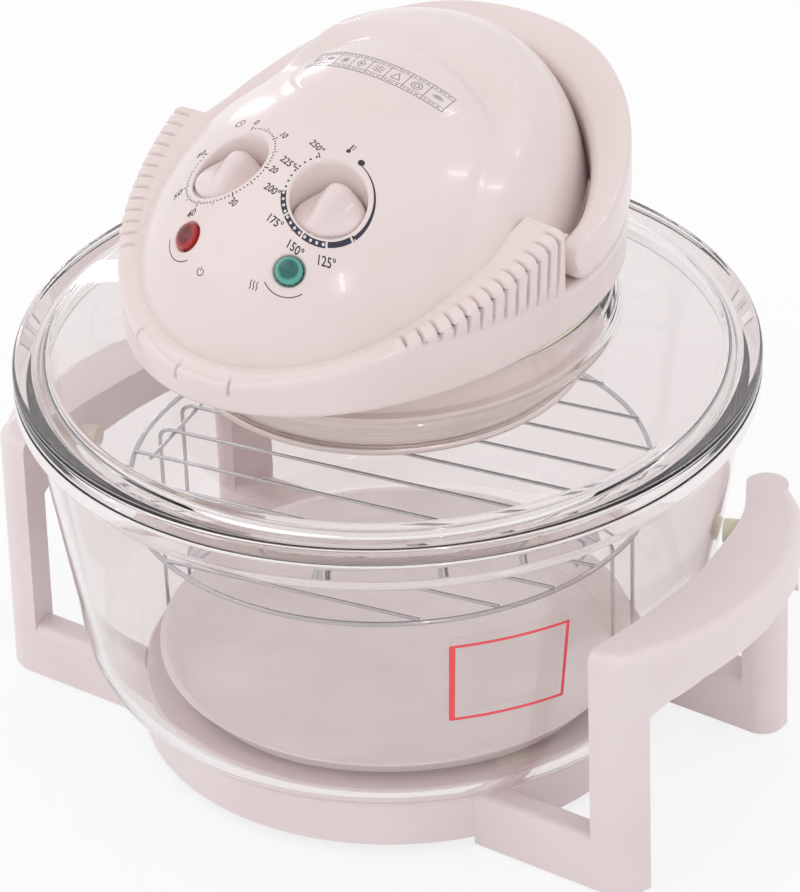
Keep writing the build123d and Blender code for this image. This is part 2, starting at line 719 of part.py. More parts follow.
def make_bracket():
    low = SHIELD_HEIGHT + 1
    top = BRACKET_TOP
    sheet = BRACKET_SHEET
    strap = Plane.XZ * make_face(Polyline(
        (-46, low), (-34, low), (-34, top - sheet), (34, top - sheet), (34, low), (46, low),
        (46, low + sheet), (36, low + sheet), (36, top), (-36, top), (-36, low + sheet),
        (-46, low + sheet), close=True))
    return extrude(strap, 17, both=True) - upright(BUSH_R + 1, low, top + 1) - bolt_holes()


def bolt_holes():
    return [upright(SCREW_R + CLEAR, BRACKET_TOP - 10, STATOR_TOP + 10, (side * 26, 0)) for side in (1, -1)]


def make_bushes():
    bushes = []
    for low in (BRACKET_TOP - BRACKET_SHEET, STATOR_TOP + 2):
        high = low + BUSH_HEIGHT + BRACKET_SHEET
        bushes.append(upright(BUSH_R, low, high) - upright(SHAFT_R + CLEAR, low - 1, high + 1))
    return together(bushes)


def make_straps():
    straps = []
    for low in (STATOR_LOW - 2, STATOR_TOP):
        strap = block((-30, 30), (-8, 8), (low, low + 2)) - upright(SHAFT_R + 1, low - 1, low + 3)
        straps.append(strap - bolt_holes())
    return together(straps)


def make_bolts():
    bolts = []
    for side in (1, -1):
        place = (side * 26, 0)
        shank = upright(SCREW_R, BRACKET_TOP - 5, STATOR_TOP + 5, place)
        foot = upright(3.5, BRACKET_TOP - 5, BRACKET_TOP - BRACKET_SHEET, place)
        sleeve = upright(3.5, BRACKET_TOP, STATOR_LOW - 2, place)
        head = upright(3.5, STATOR_TOP + 2, STATOR_TOP + 5, place)
        bolts.append(shank + foot + sleeve + head)
    return together(bolts)


def make_stator():
    core = block((-30, 30), (-22, 40), (STATOR_LOW, STATOR_TOP))
    core -= upright(STATOR_BORE, STATOR_LOW - 1, STATOR_TOP + 1)
    core -= block((-13, 13), (18, 30), (STATOR_LOW - 1, STATOR_TOP + 1))
    return core - bolt_holes()


def make_coil():
    coil = block(COIL_X, COIL_Y, COIL_Z)
    limb_y = (LIMB_Y[0] - GAP, LIMB_Y[1] + GAP)
    return coil - block((-14, 14), limb_y, (STATOR_LOW - GAP, STATOR_TOP + GAP))


def make_rotor():
    return upright(ROTOR_R, STATOR_LOW + 1, STATOR_TOP - 1) - upright(SHAFT_R + CLEAR / 2, 200, 320)


def make_motor_shaft():
    return upright(SHAFT_R, MOTOR_SHAFT_LOW, MOTOR_SHAFT_TOP)


def make_fan(radius, height, depth, blades):
    fan = upright(FAN_HUB_R, height - depth / 2, height + depth / 2)
    for number in range(blades):
        blade = Pos(radius / 2 + 2, 0, height) * Rot(BLADE_PITCH, 0, 0) * Box(radius - 4, BLADE_SHEET, depth)
        fan += Rot(0, 0, 360 / blades * number) * blade
    fan &= upright(radius, height - depth / 2, height + depth / 2)
    return fan - upright(SHAFT_R + CLEAR / 2, 100, 400)


# ---------------------------------------------------------------- handle, interlock and inlet

def bail_outline(width, back):
    return Pos(0, BAIL_Y, BAIL_LOW - 10) * Ellipse(width, back - BAIL_Y)


def make_handle():
    ring = extrude(bail_outline(BAIL_WIDTH, BAIL_BACK), 60)
    ring -= extrude(bail_outline(BAIL_IN_WIDTH, BAIL_IN_BACK), 60)
    straight = HINGE_Y + 6
    profile = side_profile((
        (HINGE_Y, BAIL_LOW), (30, BAIL_LOW), (62, BAIL_LOW + 5), (90, BAIL_BACK_LOW - 2),
        (135, BAIL_BACK_LOW), (135, BAIL_BACK_TOP), (112, BAIL_BACK_TOP - 1), (70, 290),
        (straight + 8, HINGE_HEIGHT + HINGE_R),
        (HINGE_Y, HINGE_HEIGHT + HINGE_R)))
    end_disc = lying(HINGE_R, (-130, HINGE_Y, HINGE_HEIGHT), (130, HINGE_Y, HINGE_HEIGHT))
    below = block((-200, 200), (HINGE_Y - 20, HINGE_Y), (HINGE_HEIGHT - 20, BAIL_LOW))
    arms = block((-BAIL_WIDTH, BAIL_WIDTH), (HINGE_Y - HINGE_R, 20), (BAIL_LOW, HINGE_HEIGHT + HINGE_R))
    arms -= block((-BAIL_IN_WIDTH, BAIL_IN_WIDTH), (-20, 40), (200, 400))
    bail = (ring & profile) + (arms & (end_disc - below))
    bail += arms & block((-200, 200), (HINGE_Y, 20), (200, 400))
    hole = lying(PIN_R + CLEAR, (90, HINGE_Y, HINGE_HEIGHT), (PIN_REACH[1] + 0.3, HINGE_Y, HINGE_HEIGHT))
    return bail - [hole, mirrored(hole)]


def make_pins():
    pin = lying(PIN_R, (PIN_REACH[0], HINGE_Y, HINGE_HEIGHT), (PIN_REACH[1], HINGE_Y, HINGE_HEIGHT))
    return together([pin, mirrored(pin)])


def make_plunger():
    return (upright(PLUNGER_R, PLUNGER_LOW, PLUNGER_TOP, PLUNGER_PLACE)
            + upright(PLUNGER_R + 1, PLUNGER_LOW, PLUNGER_LOW + 1.4, PLUNGER_PLACE))


def make_switch():
    x, y = PLUNGER_PLACE
    return block((x - 10, x + 2.4), (y - 10, y + 6), (SKIRT_LOW + WALL, PLUNGER_LOW - 0.2))


def make_terminals():
    low = SKIRT_LOW + WALL
    return block(TERMINAL_X, TERMINAL_Y, (low, low + TERMINAL_HEIGHT))


def make_gland():
    """Cord inlet in the housing's back wall; no cord is fitted."""
    height = (SKIRT_LOW + DECK) / 2
    gland = lying(GLAND_R, (0, GLAND_Y[0], height), (0, GLAND_Y[1], height))
    gland += lying(GLAND_FLANGE_R, (0, GLAND_FLANGE_Y[0], height), (0, GLAND_FLANGE_Y[1], height))
    return gland - lying(CORD_R, (0, GLAND_Y[0] - 8, height), (0, GLAND_Y[1] + 7, height))


# ---------------------------------------------------------------- nodes

right_frame = make_frame()

NODES = {
    "base_ring": make_base_ring(),
    "right_frame": right_frame,
    "left_frame": mirrored(right_frame),
    "frame_screws": make_frame_screws(),
    "stand_feet": make_feet(),
    "bowl_pads": make_pads(),
    "bowl_bumpers": make_bumpers(),
    "glass_bowl": make_bowl(),
    "drip_pan": make_pan(),
    "high_rack": make_rack(),
    "lid_glass": make_lid_glass(),
    "neck_gasket": make_gasket(),
    "neck_ring": make_neck_ring(),
    "heater_drum": make_drum(),
    "fan_guard": make_guard(),
    "reflector_plate": make_reflector(),
    "halogen_lamp": make_lamp(),
    "lamp_holders": make_holders(),
    "heat_shield": make_shield(),
    "lower_housing": make_lower_housing(),
    "top_cover": make_top_cover(),
    "housing_screws": make_housing_screws(),
    "timer_mechanism": make_control(-1),
    "timer_shaft": make_shaft(-1),
    "timer_knob": make_knob(-1),
    "thermostat": make_control(1),
    "thermostat_shaft": make_shaft(1),
    "thermostat_knob": make_knob(1),
    "power_lens": make_lens(-1),
    "heat_lens": make_lens(1),
    "neon_lamps": make_neons(),
    "motor_bracket": make_bracket(),
    "motor_bushes": make_bushes(),
    "motor_straps": make_straps(),
    "motor_bolts": make_bolts(),
    "motor_stator": make_stator(),
    "motor_coil": make_coil(),
    "motor_rotor": make_rotor(),
    "motor_shaft": make_motor_shaft(),
    "convection_fan": make_fan(FAN_R, FAN_HEIGHT, FAN_DEPTH, FAN_BLADES),
    "cooling_fan": make_fan(COOLER_R, COOLER_HEIGHT, COOLER_DEPTH, COOLER_BLADES),
    "carry_handle": make_handle(),
    "handle_pins": make_pins(),
    "interlock_plunger": make_plunger(),
    "interlock_switch": make_switch(),
    "terminal_block": make_terminals(),
    "cord_gland": make_gland(),
}

os.makedirs("parts", exist_ok=True)
for name, shape in NODES.items():
    export_step(shape, f"parts/{name}.step")
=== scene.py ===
import json
import math

import bmesh
import bpy
from mathutils import Matrix, Vector


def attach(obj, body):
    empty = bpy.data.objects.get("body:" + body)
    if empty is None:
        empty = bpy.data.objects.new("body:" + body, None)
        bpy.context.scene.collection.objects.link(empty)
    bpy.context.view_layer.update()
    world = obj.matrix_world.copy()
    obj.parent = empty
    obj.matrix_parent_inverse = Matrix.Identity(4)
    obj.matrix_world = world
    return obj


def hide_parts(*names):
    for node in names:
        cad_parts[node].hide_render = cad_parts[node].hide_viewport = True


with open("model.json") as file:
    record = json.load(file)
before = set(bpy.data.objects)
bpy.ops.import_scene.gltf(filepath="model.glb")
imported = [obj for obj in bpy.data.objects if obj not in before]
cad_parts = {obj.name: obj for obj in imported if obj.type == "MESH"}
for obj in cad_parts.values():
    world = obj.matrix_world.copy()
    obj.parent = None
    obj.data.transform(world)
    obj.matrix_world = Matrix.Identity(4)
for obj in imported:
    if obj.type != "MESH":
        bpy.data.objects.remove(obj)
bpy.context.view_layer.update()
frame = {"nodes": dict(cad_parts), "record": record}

MM = 0.001
TAU = 2 * math.pi


# ---------------------------------------------------------------- camera

VIEW_TURN = math.radians(36.0)      # round the object, from its front towards its right
VIEW_HEIGHT = math.radians(32.6)
VIEW_ROLL = math.radians(1.9)
IMAGE = (800, 892)
FOCAL_PX = 6300.0
DISTANCE = 2.819
ANCHOR = Vector((0, 0, 0.196))      # middle of the rim, and where it falls in the image
ANCHOR_PX = (387.0, 343.5)
SENSOR = 36.0


def add_camera():
    turn, height = VIEW_TURN, VIEW_HEIGHT
    right = Vector((math.cos(turn), math.sin(turn), 0))
    forward = Vector((-math.sin(turn) * math.cos(height), math.cos(turn) * math.cos(height), -math.sin(height)))
    down = forward.cross(right)
    across = math.cos(VIEW_ROLL) * right + math.sin(VIEW_ROLL) * down
    below = -math.sin(VIEW_ROLL) * right + math.cos(VIEW_ROLL) * down
    off = [(ANCHOR_PX[i] - IMAGE[i] / 2) / FOCAL_PX for i in (0, 1)]
    place = ANCHOR - (forward + off[0] * across + off[1] * below) * DISTANCE
    data = bpy.data.cameras.new("camera")
    data.sensor_width = SENSOR
    data.lens = FOCAL_PX / max(IMAGE) * SENSOR
    data.clip_end = 50
    camera = bpy.data.objects.new("camera", data)
    bpy.context.scene.collection.objects.link(camera)
    axes = Matrix((across, -below, -forward)).transposed().to_4x4()
    camera.matrix_world = Matrix.Translation(place) @ axes
    bpy.context.scene.camera = camera


# ---------------------------------------------------------------- shader maths

class Value:
    """A socket in a node tree; arithmetic on it adds Math nodes."""

    def __init__(self, shader, socket):
        self.shader = shader
        self.socket = socket

    def maths(self, operation, *others, clamp=False):
        settings = {"operation": operation, "use_clamp": clamp}
        return self.shader.node("ShaderNodeMath", settings, {i: v for i, v in enumerate((self, *others))})

    def __add__(self, other):
        return self.maths("ADD", other)

    __radd__ = __add__

    def __mul__(self, other):
        return self.maths("MULTIPLY", other)

    __rmul__ = __mul__

    def __sub__(self, other):
        return self.maths("SUBTRACT", other)

    def __rsub__(self, other):
        return self * -1 + other

    def __truediv__(self, other):
        return self.maths("DIVIDE", other)

    def above(self, low, high):
        """0 below low, 1 above high, smooth between."""
        settings = {"interpolation_type": "SMOOTHSTEP"}
        return self.shader.node("ShaderNodeMapRange", settings, {"Value": self, "From Min": low, "From Max": high})


class Shader:
    """One material and its node tree."""

    def __init__(self, name):
        self.material = bpy.data.materials.new(name)
        self.material.use_nodes = True
        self.tree = self.material.node_tree
        self.tree.nodes.clear()

    def node(self, kind, settings=None, inputs=None, output=0):
        made = self.tree.nodes.new(kind)
        for name, value in (settings or {}).items():
            if name == "stops":
                ramp = made.color_ramp.elements
                while len(ramp) < len(value):
                    ramp.new(0.5)
                for element, (position, colour) in zip(ramp, value):
                    element.position = position
                    element.color = (*colour, 1)
            else:
                setattr(made, name, value)
        for name, value in (inputs or {}).items():
            if isinstance(value, Value):
                self.tree.links.new(value.socket, made.inputs[name])
            else:
                made.inputs[name].default_value = value
        return Value(self, made.outputs[output]) if len(made.outputs) else None

    def place(self):
        return self.node("ShaderNodeTexCoord", output="Object")

    def noise(self, scale, detail=3.0, rough=0.55, vector=None):
        inputs = {"Scale": scale, "Detail": detail, "Roughness": rough, "Vector": vector or self.place()}
        return self.node("ShaderNodeTexNoise", None, inputs, "Fac")

    def parts(self, vector=None):
        split = self.node("ShaderNodeSeparateXYZ", None, {"Vector": vector or self.place()})
        outputs = split.socket.node.outputs
        return [Value(self, outputs[i]) for i in range(3)]

    def mix(self, factor, first, second):
        made = self.tree.nodes.new("ShaderNodeMix")
        made.data_type = "RGBA"
        for slot, value in zip((0, 6, 7), (factor, first, second)):
            if isinstance(value, Value):
                self.tree.links.new(value.socket, made.inputs[slot])
            else:
                made.inputs[slot].default_value = value
        return Value(self, made.outputs[2])

    def bump(self, height, distance, strength=1.0):
        return self.node("ShaderNodeBump", None, {"Height": height, "Distance": distance, "Strength": strength})

    def surface(self, **inputs):
        named = {name.replace("_", " "): value for name, value in inputs.items()}
        return self.node("ShaderNodeBsdfPrincipled", None, named)

    def blend(self, factor, first, second):
        return self.node("ShaderNodeMixShader", None, {0: factor, 1: first, 2: second})

    def done(self, surface):
        self.node("ShaderNodeOutputMaterial", None, {"Surface": surface})
        return self.material


def linear(red, green, blue):
    """An sRGB colour, 0 to 255, as a linear one with alpha."""
    def channel(value):
        value /= 255
        return value / 12.92 if value <= 0.04045 else ((value + 0.055) / 1.055) ** 2.4
    return (channel(red), channel(green), channel(blue), 1.0)


# ---------------------------------------------------------------- materials

def moulded_plastic(name, colour, deeper, roughness, coat=0.0):
    """Injection-moulded plastic: faint mottling, a slight waviness and fine scuffs in the gloss."""
    shader = Shader(name)
    cloud = shader.noise(14, 4)
    grain = shader.noise(420, 2)
    wave = shader.noise(22, 2)
    gloss = roughness + (cloud - 0.5) * 0.10 + (grain - 0.5) * 0.05
    height = wave * 0.6 + grain * 0.05
    surface = shader.surface(
        Base_Color=shader.mix(cloud.above(0.3, 0.75), colour, deeper), Roughness=gloss,
        Normal=shader.bump(height, 0.0002, 0.35), Coat_Weight=coat, Coat_Roughness=0.06, IOR=1.49)
    return shader.done(surface)


INSIDE_TINT = 0.35      # the light that falls through glass is tinted by this power of the glass's own tint


def clear_glass(name, tint, roughness=0.0):
    """Clear glass; light passes it unbent on its way to what stands behind."""
    shader = Shader(name)
    smear = shader.noise(9, 4, 0.6)
    solid = shader.surface(Base_Color=tint, Roughness=smear.above(0.5, 0.9) * 0.02 + roughness,
                           Transmission_Weight=1.0, IOR=1.47)
    path = shader.tree.nodes.new("ShaderNodeLightPath").outputs
    passing = Value(shader, path["Is Shadow Ray"]).maths("MAXIMUM", Value(shader, path["Is Diffuse Ray"]))
    lighter = tuple(part ** INSIDE_TINT for part in tint[:3]) + (1,)
    through = shader.node("ShaderNodeBsdfTransparent", None, {"Color": lighter})
    return shader.done(shader.blend(passing, solid, through))


def spun_metal(name, colour, deeper, roughness, lines=900.0):
    """Sheet metal turned or brushed round the axis: fine rings that vary along their length."""
    shader = Shader(name)
    x, y, z = shader.parts()
    radius = (x * x + y * y).maths("SQRT")
    angle = y.maths("ARCTAN2", x)
    rings = shader.node("ShaderNodeCombineXYZ", None, {"X": radius * lines, "Y": z * lines, "Z": angle * 2.0})
    brush = shader.noise(1.0, 3, 0.6, rings)
    cloud = shader.noise(18, 3)
    surface = shader.surface(
        Base_Color=shader.mix(brush.above(0.3, 0.7), deeper, colour), Metallic=1.0,
        Roughness=roughness + (brush - 0.5) * 0.25 + (cloud - 0.5) * 0.1,
        Normal=shader.bump(brush, 0.0001, 0.25))
    return shader.done(surface)


def pan_coating(name, colour, deeper):
    """Satin sheet with a fine grain and faint clouds, as on an anodised pan."""
    shader = Shader(name)
    cloud = shader.noise(26, 5, 0.6)
    grain = shader.noise(650, 3, 0.6)
    surface = shader.surface(
        Base_Color=shader.mix(cloud.above(0.3, 0.7), deeper, colour), Metallic=0.35,
        Roughness=0.5 + (grain - 0.5) * 0.3, Normal=shader.bump(grain + cloud * 0.4, 0.0002, 0.4))
    return shader.done(surface)


def plain_metal(name, colour, roughness):
    shader = Shader(name)
    cloud = shader.noise(60, 4)
    fine = shader.noise(700, 2)
    surface = shader.surface(
        Base_Color=shader.mix(cloud, colour, tuple(0.82 * c for c in colour[:3]) + (1,)), Metallic=1.0,
        Roughness=roughness + (cloud - 0.5) * 0.12, Normal=shader.bump(fine, 0.00005, 0.3))
    return shader.done(surface)


def soft_rubber(name, colour):
    shader = Shader(name)
    cloud = shader.noise(40, 4)
    grain = shader.noise(900, 2)
    surface = shader.surface(
        Base_Color=shader.mix(cloud, colour, tuple(0.86 * c for c in colour[:3]) + (1,)),
        Roughness=0.62 + (grain - 0.5) * 0.15, Normal=shader.bump(grain, 0.0001, 0.4))
    return shader.done(surface)


def tinted_lens(name, place, colour, painted_light_colour, painted_shade_colour):
    """Clear tinted plastic over a lamp that is off, with light and shade painted into its colour: a painted pale
    middle, a painted dark ring, a painted bright edge and a faint painted glow.
    """
    shader = Shader(name)
    x, y, z = (part - at * MM for part, at in zip(shader.parts(), place))
    away = x * x + y * y + z * z
    radius = away.maths("SQRT") * 1000
    facet = shader.noise(380, 2)
    # painted shade: a darker ring between the painted pale middle and the edge, broken up by the facet speckle
    ring = radius.above(1.2, 2.2) * (1 - radius.above(4.0, 5.6))
    # the second colour is painted light for the pale middle, the third painted shade for the ring
    painted_light_and_shade = shader.mix((ring + (facet - 0.5) * 0.5).maths("MAXIMUM", 0, clamp=True), painted_light_colour, painted_shade_colour)
    surface = shader.surface(
        Base_Color=shader.mix(radius.above(4.6, 5.8) * 0.6, painted_light_and_shade, colour), Roughness=0.1 + facet * 0.06,
        # a faint painted glow, though the lamp under the lens is off
        Coat_Weight=0.4, Coat_Roughness=0.03, Emission_Color=colour, Emission_Strength=0.05)
    return shader.done(surface)


def print_ink(name, colour):
    shader = Shader(name)
    speck = shader.noise(1500, 2)
    surface = shader.surface(
        Base_Color=shader.mix(speck, colour, tuple(min(1, 1.6 * c) for c in colour[:3]) + (1,)),
        Roughness=0.38 + speck * 0.1)
    return shader.done(surface)


WHITE = linear(230, 215, 213)
WHITE_DEEP = linear(226, 210, 208)
PLASTIC = moulded_plastic("white_plastic", WHITE, WHITE_DEEP, 0.22, 0.25)
STAND_PLASTIC = moulded_plastic("stand_plastic", linear(233, 219, 220), linear(227, 212, 213), 0.34)
KNOB_PLASTIC = moulded_plastic("knob_plastic", linear(230, 213, 212), linear(222, 205, 204), 0.24, 0.2)
BOWL_GLASS = clear_glass("bowl_glass", (0.895, 0.85, 0.85, 1))
LID_GLASS = clear_glass("lid_glass", (0.935, 0.905, 0.905, 1))
LAMP_GLASS = clear_glass("lamp_glass", (0.95, 0.95, 0.94, 1), 0.2)
METAL = spun_metal("brushed_metal", linear(248, 240, 237), linear(226, 218, 214), 0.42)
PAN_METAL = pan_coating("pan_coating", linear(254, 248, 246), linear(246, 238, 236))
CHROME = plain_metal("wire_chrome", linear(205, 205, 208), 0.16)
STEEL = plain_metal("plain_steel", linear(170, 170, 174), 0.38)
ALUMINIUM = plain_metal("fan_aluminium", linear(205, 205, 205), 0.4)
LAMINATION = plain_metal("lamination_steel", linear(96, 96, 102), 0.55)
BRONZE = plain_metal("bronze", linear(170, 126, 70), 0.5)
COPPER = plain_metal("copper_winding", linear(172, 86, 48), 0.42)
RUBBER = soft_rubber("cream_rubber", linear(232, 226, 204))
CERAMIC = soft_rubber("ceramic", linear(238, 234, 226))
DARK = soft_rubber("dark_plastic", linear(42, 42, 46))
GREY = soft_rubber("grey_plastic", linear(176, 168, 168))
# for each lens the fourth colour is painted light for its pale middle and the fifth is painted shade for its dark
# ring
RED = tinted_lens("red_lens", (-27, -106, 297), linear(176, 34, 32), linear(150, 22, 24), linear(96, 6, 12))
GREEN = tinted_lens("green_lens", (27, -106, 297), linear(66, 152, 138), linear(92, 172, 156), linear(12, 86, 80))
INK = print_ink("print_ink", linear(34, 36, 52))
STRIP_INK = print_ink("strip_ink", linear(92, 94, 114))
LABEL_RED = print_ink("label_red", linear(214, 66, 78))

FINISHES = {
    "white_plastic": PLASTIC, "stand_plastic": STAND_PLASTIC, "handle_plastic": PLASTIC,
    "knob_plastic": KNOB_PLASTIC, "cream_rubber": RUBBER, "bowl_glass": BOWL_GLASS, "lid_glass": LID_GLASS,
    "lamp_glass": LAMP_GLASS, "brushed_metal": METAL, "wire_chrome": CHROME, "plain_steel": STEEL,
    "fan_aluminium": ALUMINIUM, "lamination_steel": LAMINATION, "bronze": BRONZE, "copper_winding": COPPER,
    "ceramic": CERAMIC, "dark_plastic": DARK, "grey_plastic": GREY, "red_lens": RED, "green_lens": GREEN,
    "neon_glass": LAMP_GLASS,
}


def finish_frame():
    """Gives every CAD node the finish of its material slot."""
    slots = {part["node"]: part["material_slot"] for part in frame["record"]["subparts"]}
    for name, node in frame["nodes"].items():
        node.data.materials.clear()
        node.data.materials.append(PAN_METAL if name == "drip_pan" else FINISHES[slots[name]])


# ---------------------------------------------------------------- stage

def emission(shader, colour, strength):
    return shader.node("ShaderNodeEmission", None, {"Color": colour, "Strength": strength})


def seen(shader):
    """1 for the rays that look at the backdrop: straight, mirrored or through glass."""
    path = shader.tree.nodes.new("ShaderNodeLightPath").outputs
    rays = [Value(shader, path[name]) for name in ("Is Camera Ray", "Is Glossy Ray", "Is Transmission Ray")]
    return rays[0].maths("MAXIMUM", rays[1]).maths("MAXIMUM", rays[2])


def add_stage():
    shader = Shader("floor")
    cloud = shader.noise(3)
    grey = shader.mix(cloud, (0.86, 0.86, 0.86, 1), (0.9, 0.9, 0.9, 1))
    matt = shader.surface(Base_Color=grey, Roughness=0.8)
    white = emission(shader, (1, 1, 1, 1), 1.0)
    material = shader.done(shader.blend(seen(shader) * FLOOR_GLOW, matt, white))
    bm = bmesh.new()
    bmesh.ops.create_circle(bm, cap_ends=True, segments=96, radius=9.0)
    floor = bm_object("floor", bm, material)

    world = bpy.data.worlds.new("world")
    bpy.context.scene.world = world
    world.use_nodes = True
    tree = world.node_tree
    background = tree.nodes["Background"]
    path = tree.nodes.new("ShaderNodeLightPath").outputs
    add = tree.nodes.new("ShaderNodeMath")
    add.operation = "MAXIMUM"
    tree.links.new(path["Is Camera Ray"], add.inputs[0])
    tree.links.new(path["Is Transmission Ray"], add.inputs[1])
    level = tree.nodes.new("ShaderNodeMapRange")
    level.inputs["To Min"].default_value = WORLD_LIGHT
    level.inputs["To Max"].default_value = 1.0
    tree.links.new(add.outputs[0], level.inputs["Value"])
    tree.links.new(level.outputs[0], background.inputs["Strength"])
    background.inputs["Color"].default_value = (1, 1, 1, 1)


def add_lamp(name, place, target, size, power):
    data = bpy.data.lights.new(name, "AREA")
    data.shape = "RECTANGLE"
    data.size, data.size_y = size
    data.energy = power
    lamp = bpy.data.objects.new(name, data)
    bpy.context.scene.collection.objects.link(lamp)
    lamp.location = place
    lamp.rotation_euler = (Vector(target) - Vector(place)).to_track_quat("-Z", "Y").to_euler()


FLOOR_GLOW = 0.8
WORLD_LIGHT = 0.92
LAMP_TARGET = (0, 0, 0.2)
LAMPS = (("key", (-1.5, -1.4, 2.6), (3.0, 3.0), 15),
         ("window_back", (1.2, 1.7, 2.1), (0.1, 0.5), 1.4),
         ("window_side", (1.7, -1.35, 1.95), (0.12, 0.55), 3),
         ("window_left", (-2.2, 1.6, 0.6), (0.16, 0.7), 2))


def add_lights():
    for name, place, size, power in LAMPS:
        add_lamp(name, place, LAMP_TARGET, size, power)


# ---------------------------------------------------------------- mesh helpers

def bm_object(name, bm, material, smooth=True, angle=None, recalc=True):
    """Puts a bmesh in the scene as a piece."""
    bmesh.ops.remove_doubles(bm, verts=bm.verts, dist=1e-6)
    if recalc:
        bmesh.ops.recalc_face_normals(bm, faces=bm.faces)
    mesh = bpy.data.meshes.new(name)
    bm.to_mesh(mesh)
    bm.free()
    mesh.materials.append(material)
    piece = bpy.data.objects.new(name, mesh)
    bpy.context.scene.collection.objects.link(piece)
    if smooth:
        mesh.shade_smooth()
        if angle:
            mesh.set_sharp_from_angle(angle=math.radians(angle))
    return piece


def rounded(points, radii, steps):
    """A (radius, height) outline with its corners rounded; a radius of 0 keeps a corner."""
    out = []
    for i, (point, radius) in enumerate(zip(points, radii)):
        here = Vector(point)
        if radius == 0:
            out.append(here)
            continue
        before = Vector(points[i - 1]) - here
        after = Vector(points[(i + 1) % len(points)]) - here
        half = before.angle(after) / 2
        reach = min(radius / math.tan(half), 0.49 * before.length, 0.49 * after.length)
        start = here + before.normalized() * reach
        end = here + after.normalized() * reach
        for k in range(steps + 1):
            t = k / steps
            out.append((1 - t) ** 2 * start + 2 * t * (1 - t) * here + t ** 2 * end)
    return out


SPIN_STEPS = 192


def spun_piece(name, material, points, radii, steps):
    """Turns a closed (radius, height) outline in millimetres about the axis, with its corners rounded."""
    bm = bmesh.new()
    verts = [bm.verts.new((radius * MM, 0, height * MM)) for radius, height in rounded(points, radii, steps)]
    edges = [bm.edges.new(pair) for pair in zip(verts, verts[1:] + verts[:1])]
    bmesh.ops.spin(bm, geom=verts + edges, cent=(0, 0, 0), axis=(0, 0, 1), angle=TAU, steps=SPIN_STEPS,
                   use_merge=True)
    bmesh.ops.remove_doubles(bm, verts=bm.verts, dist=1e-6)
    return bm_object(name, bm, material)


def replace(piece, body, slot, *nodes):
    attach(piece, body)
    if nodes:
        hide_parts(*nodes)
    return piece


# ---------------------------------------------------------------- glass

GLASS_WALL = 4.5
LID_GAP = 0.15          # each glass rim stops this short of the plane where they meet
RIM_R = 168.0
RIM_HEIGHT = 188.0
BOWL_FOOT = (138.3, 28.2)       # radius and height where the sloping side starts and ends
BOWL_SHOULDER = (160.4, 172)


def make_bowl_glass():
    top, low, high = RIM_HEIGHT - LID_GAP, BOWL_FOOT[1], BOWL_SHOULDER[1]
    outer = [(0, low), BOWL_FOOT, BOWL_SHOULDER, (RIM_R, 179.5), (RIM_R, top)]
    inner = [(158.4, top), (155.9, high), (133.9, low + GLASS_WALL), (0, low + GLASS_WALL)]
    radii = [0, 40, 6, 3, 2.2, 1.5, 6, 36, 0]
    piece = spun_piece("bowl_shell", BOWL_GLASS, outer + inner, radii, 10)
    return replace(piece, "bowl", "bowl_glass", "glass_bowl")


def make_lid_glass():
    low = RIM_HEIGHT + LID_GAP
    outer = [(RIM_R, low), (RIM_R, 196), (154, 196.2), (151.5, 199.2), (105, 217.8), (101.2, 236.5)]
    inner = [(96.7, 236.5), (100.3, 214.9), (150.6, 194.4), (151.4, 184), (156.3, 184), (156.3, low)]
    radii = [1.2, 2.8, 2.5, 2.5, 5, 1.5, 1.0, 4, 2, 1.0, 1.2, 0.8]
    piece = spun_piece("lid_shell", LID_GLASS, outer + inner, radii, 8)
    return replace(piece, "lid", "lid_glass", "lid_glass")


# ---------------------------------------------------------------- cover

COVER_MIDDLE = Vector((0, 0, 254))
DOME = (Vector((0, -15, 254)), Vector((91, 117, 81.5)))
CROWN = (Vector((0, 26, 254)), Vector((77, 76.5, 89)))
CROWN_POWER = 2.35
CROWN_SEARCH = (50.0, 130.0)    # the crown lies between these reaches, and is found by halving
CROWN_HALVINGS = 22
CAP_MIDDLE = (0.0, 20.0)        # plan of the cap under the strip, which is sunk a little
CAP_HALF = (47.0, 52.0)
CAP_POWER = 2.3
CAP_SUNK = 0.8
CAP_EDGE = 0.955                # share of the plan where its edge begins
PAD = (Vector((0, 5, 254)), Vector((73, 88.5, 90.0)))
BAND_RISE = 1.8         # the raised band round the back stands this far out
BAND_GROOVE = 0.5
BAND_BACK = 26.0
BAND_HALF = 56.0
BAND_SPREAD = 0.30      # the band's inner edge moves out by this for each step forwards
BAND_ROUNDING = 14.0
BAND_STEP = (-2.0, 8.0) # the band rises between these distances behind its inner edge
GROOVE_AT = 3.0
GROOVE_HALF = 2.6
CROWN_BLEND = 5
PAD_BLEND = 2.2
CHEEK_START = (-130.0, 256.0)
CHEEK_END = (-8.0, 293.0)
DECK = 259.5
COVER_TUCK = 2.5        # the cover goes on below the housing's top by this
COVER_WALL = 2.2
COVER_MESH = (340, 250) # steps round and from top to bottom


def crown_reach(direction):
    """Distance to the crown, whose shoulders are fuller than an ellipsoid's."""
    near, far = CROWN_SEARCH
    for _ in range(CROWN_HALVINGS):
        middle = (near + far) / 2
        x, y, z = ((m + middle * d - c) / a for m, d, c, a in zip(COVER_MIDDLE, direction, *CROWN))
        inside = math.hypot(x, y) ** CROWN_POWER + abs(z) ** CROWN_POWER < 1
        near, far = (middle, far) if inside else (near, middle)
    return near


def ellipsoid_reach(shape, direction, sunk=0.0):
    """Distance from the cover's middle to an ellipsoid, along a direction."""
    centre, axes = shape
    scale = [1 / (axis - sunk) for axis in axes]
    start = Vector([(m - c) * k for m, c, k in zip(COVER_MIDDLE, centre, scale)])
    step = Vector([d * k for d, k in zip(direction, scale)])
    a, b, c = step.dot(step), start.dot(step), start.dot(start) - 1
    return (-b + math.sqrt(b * b - a * c)) / a


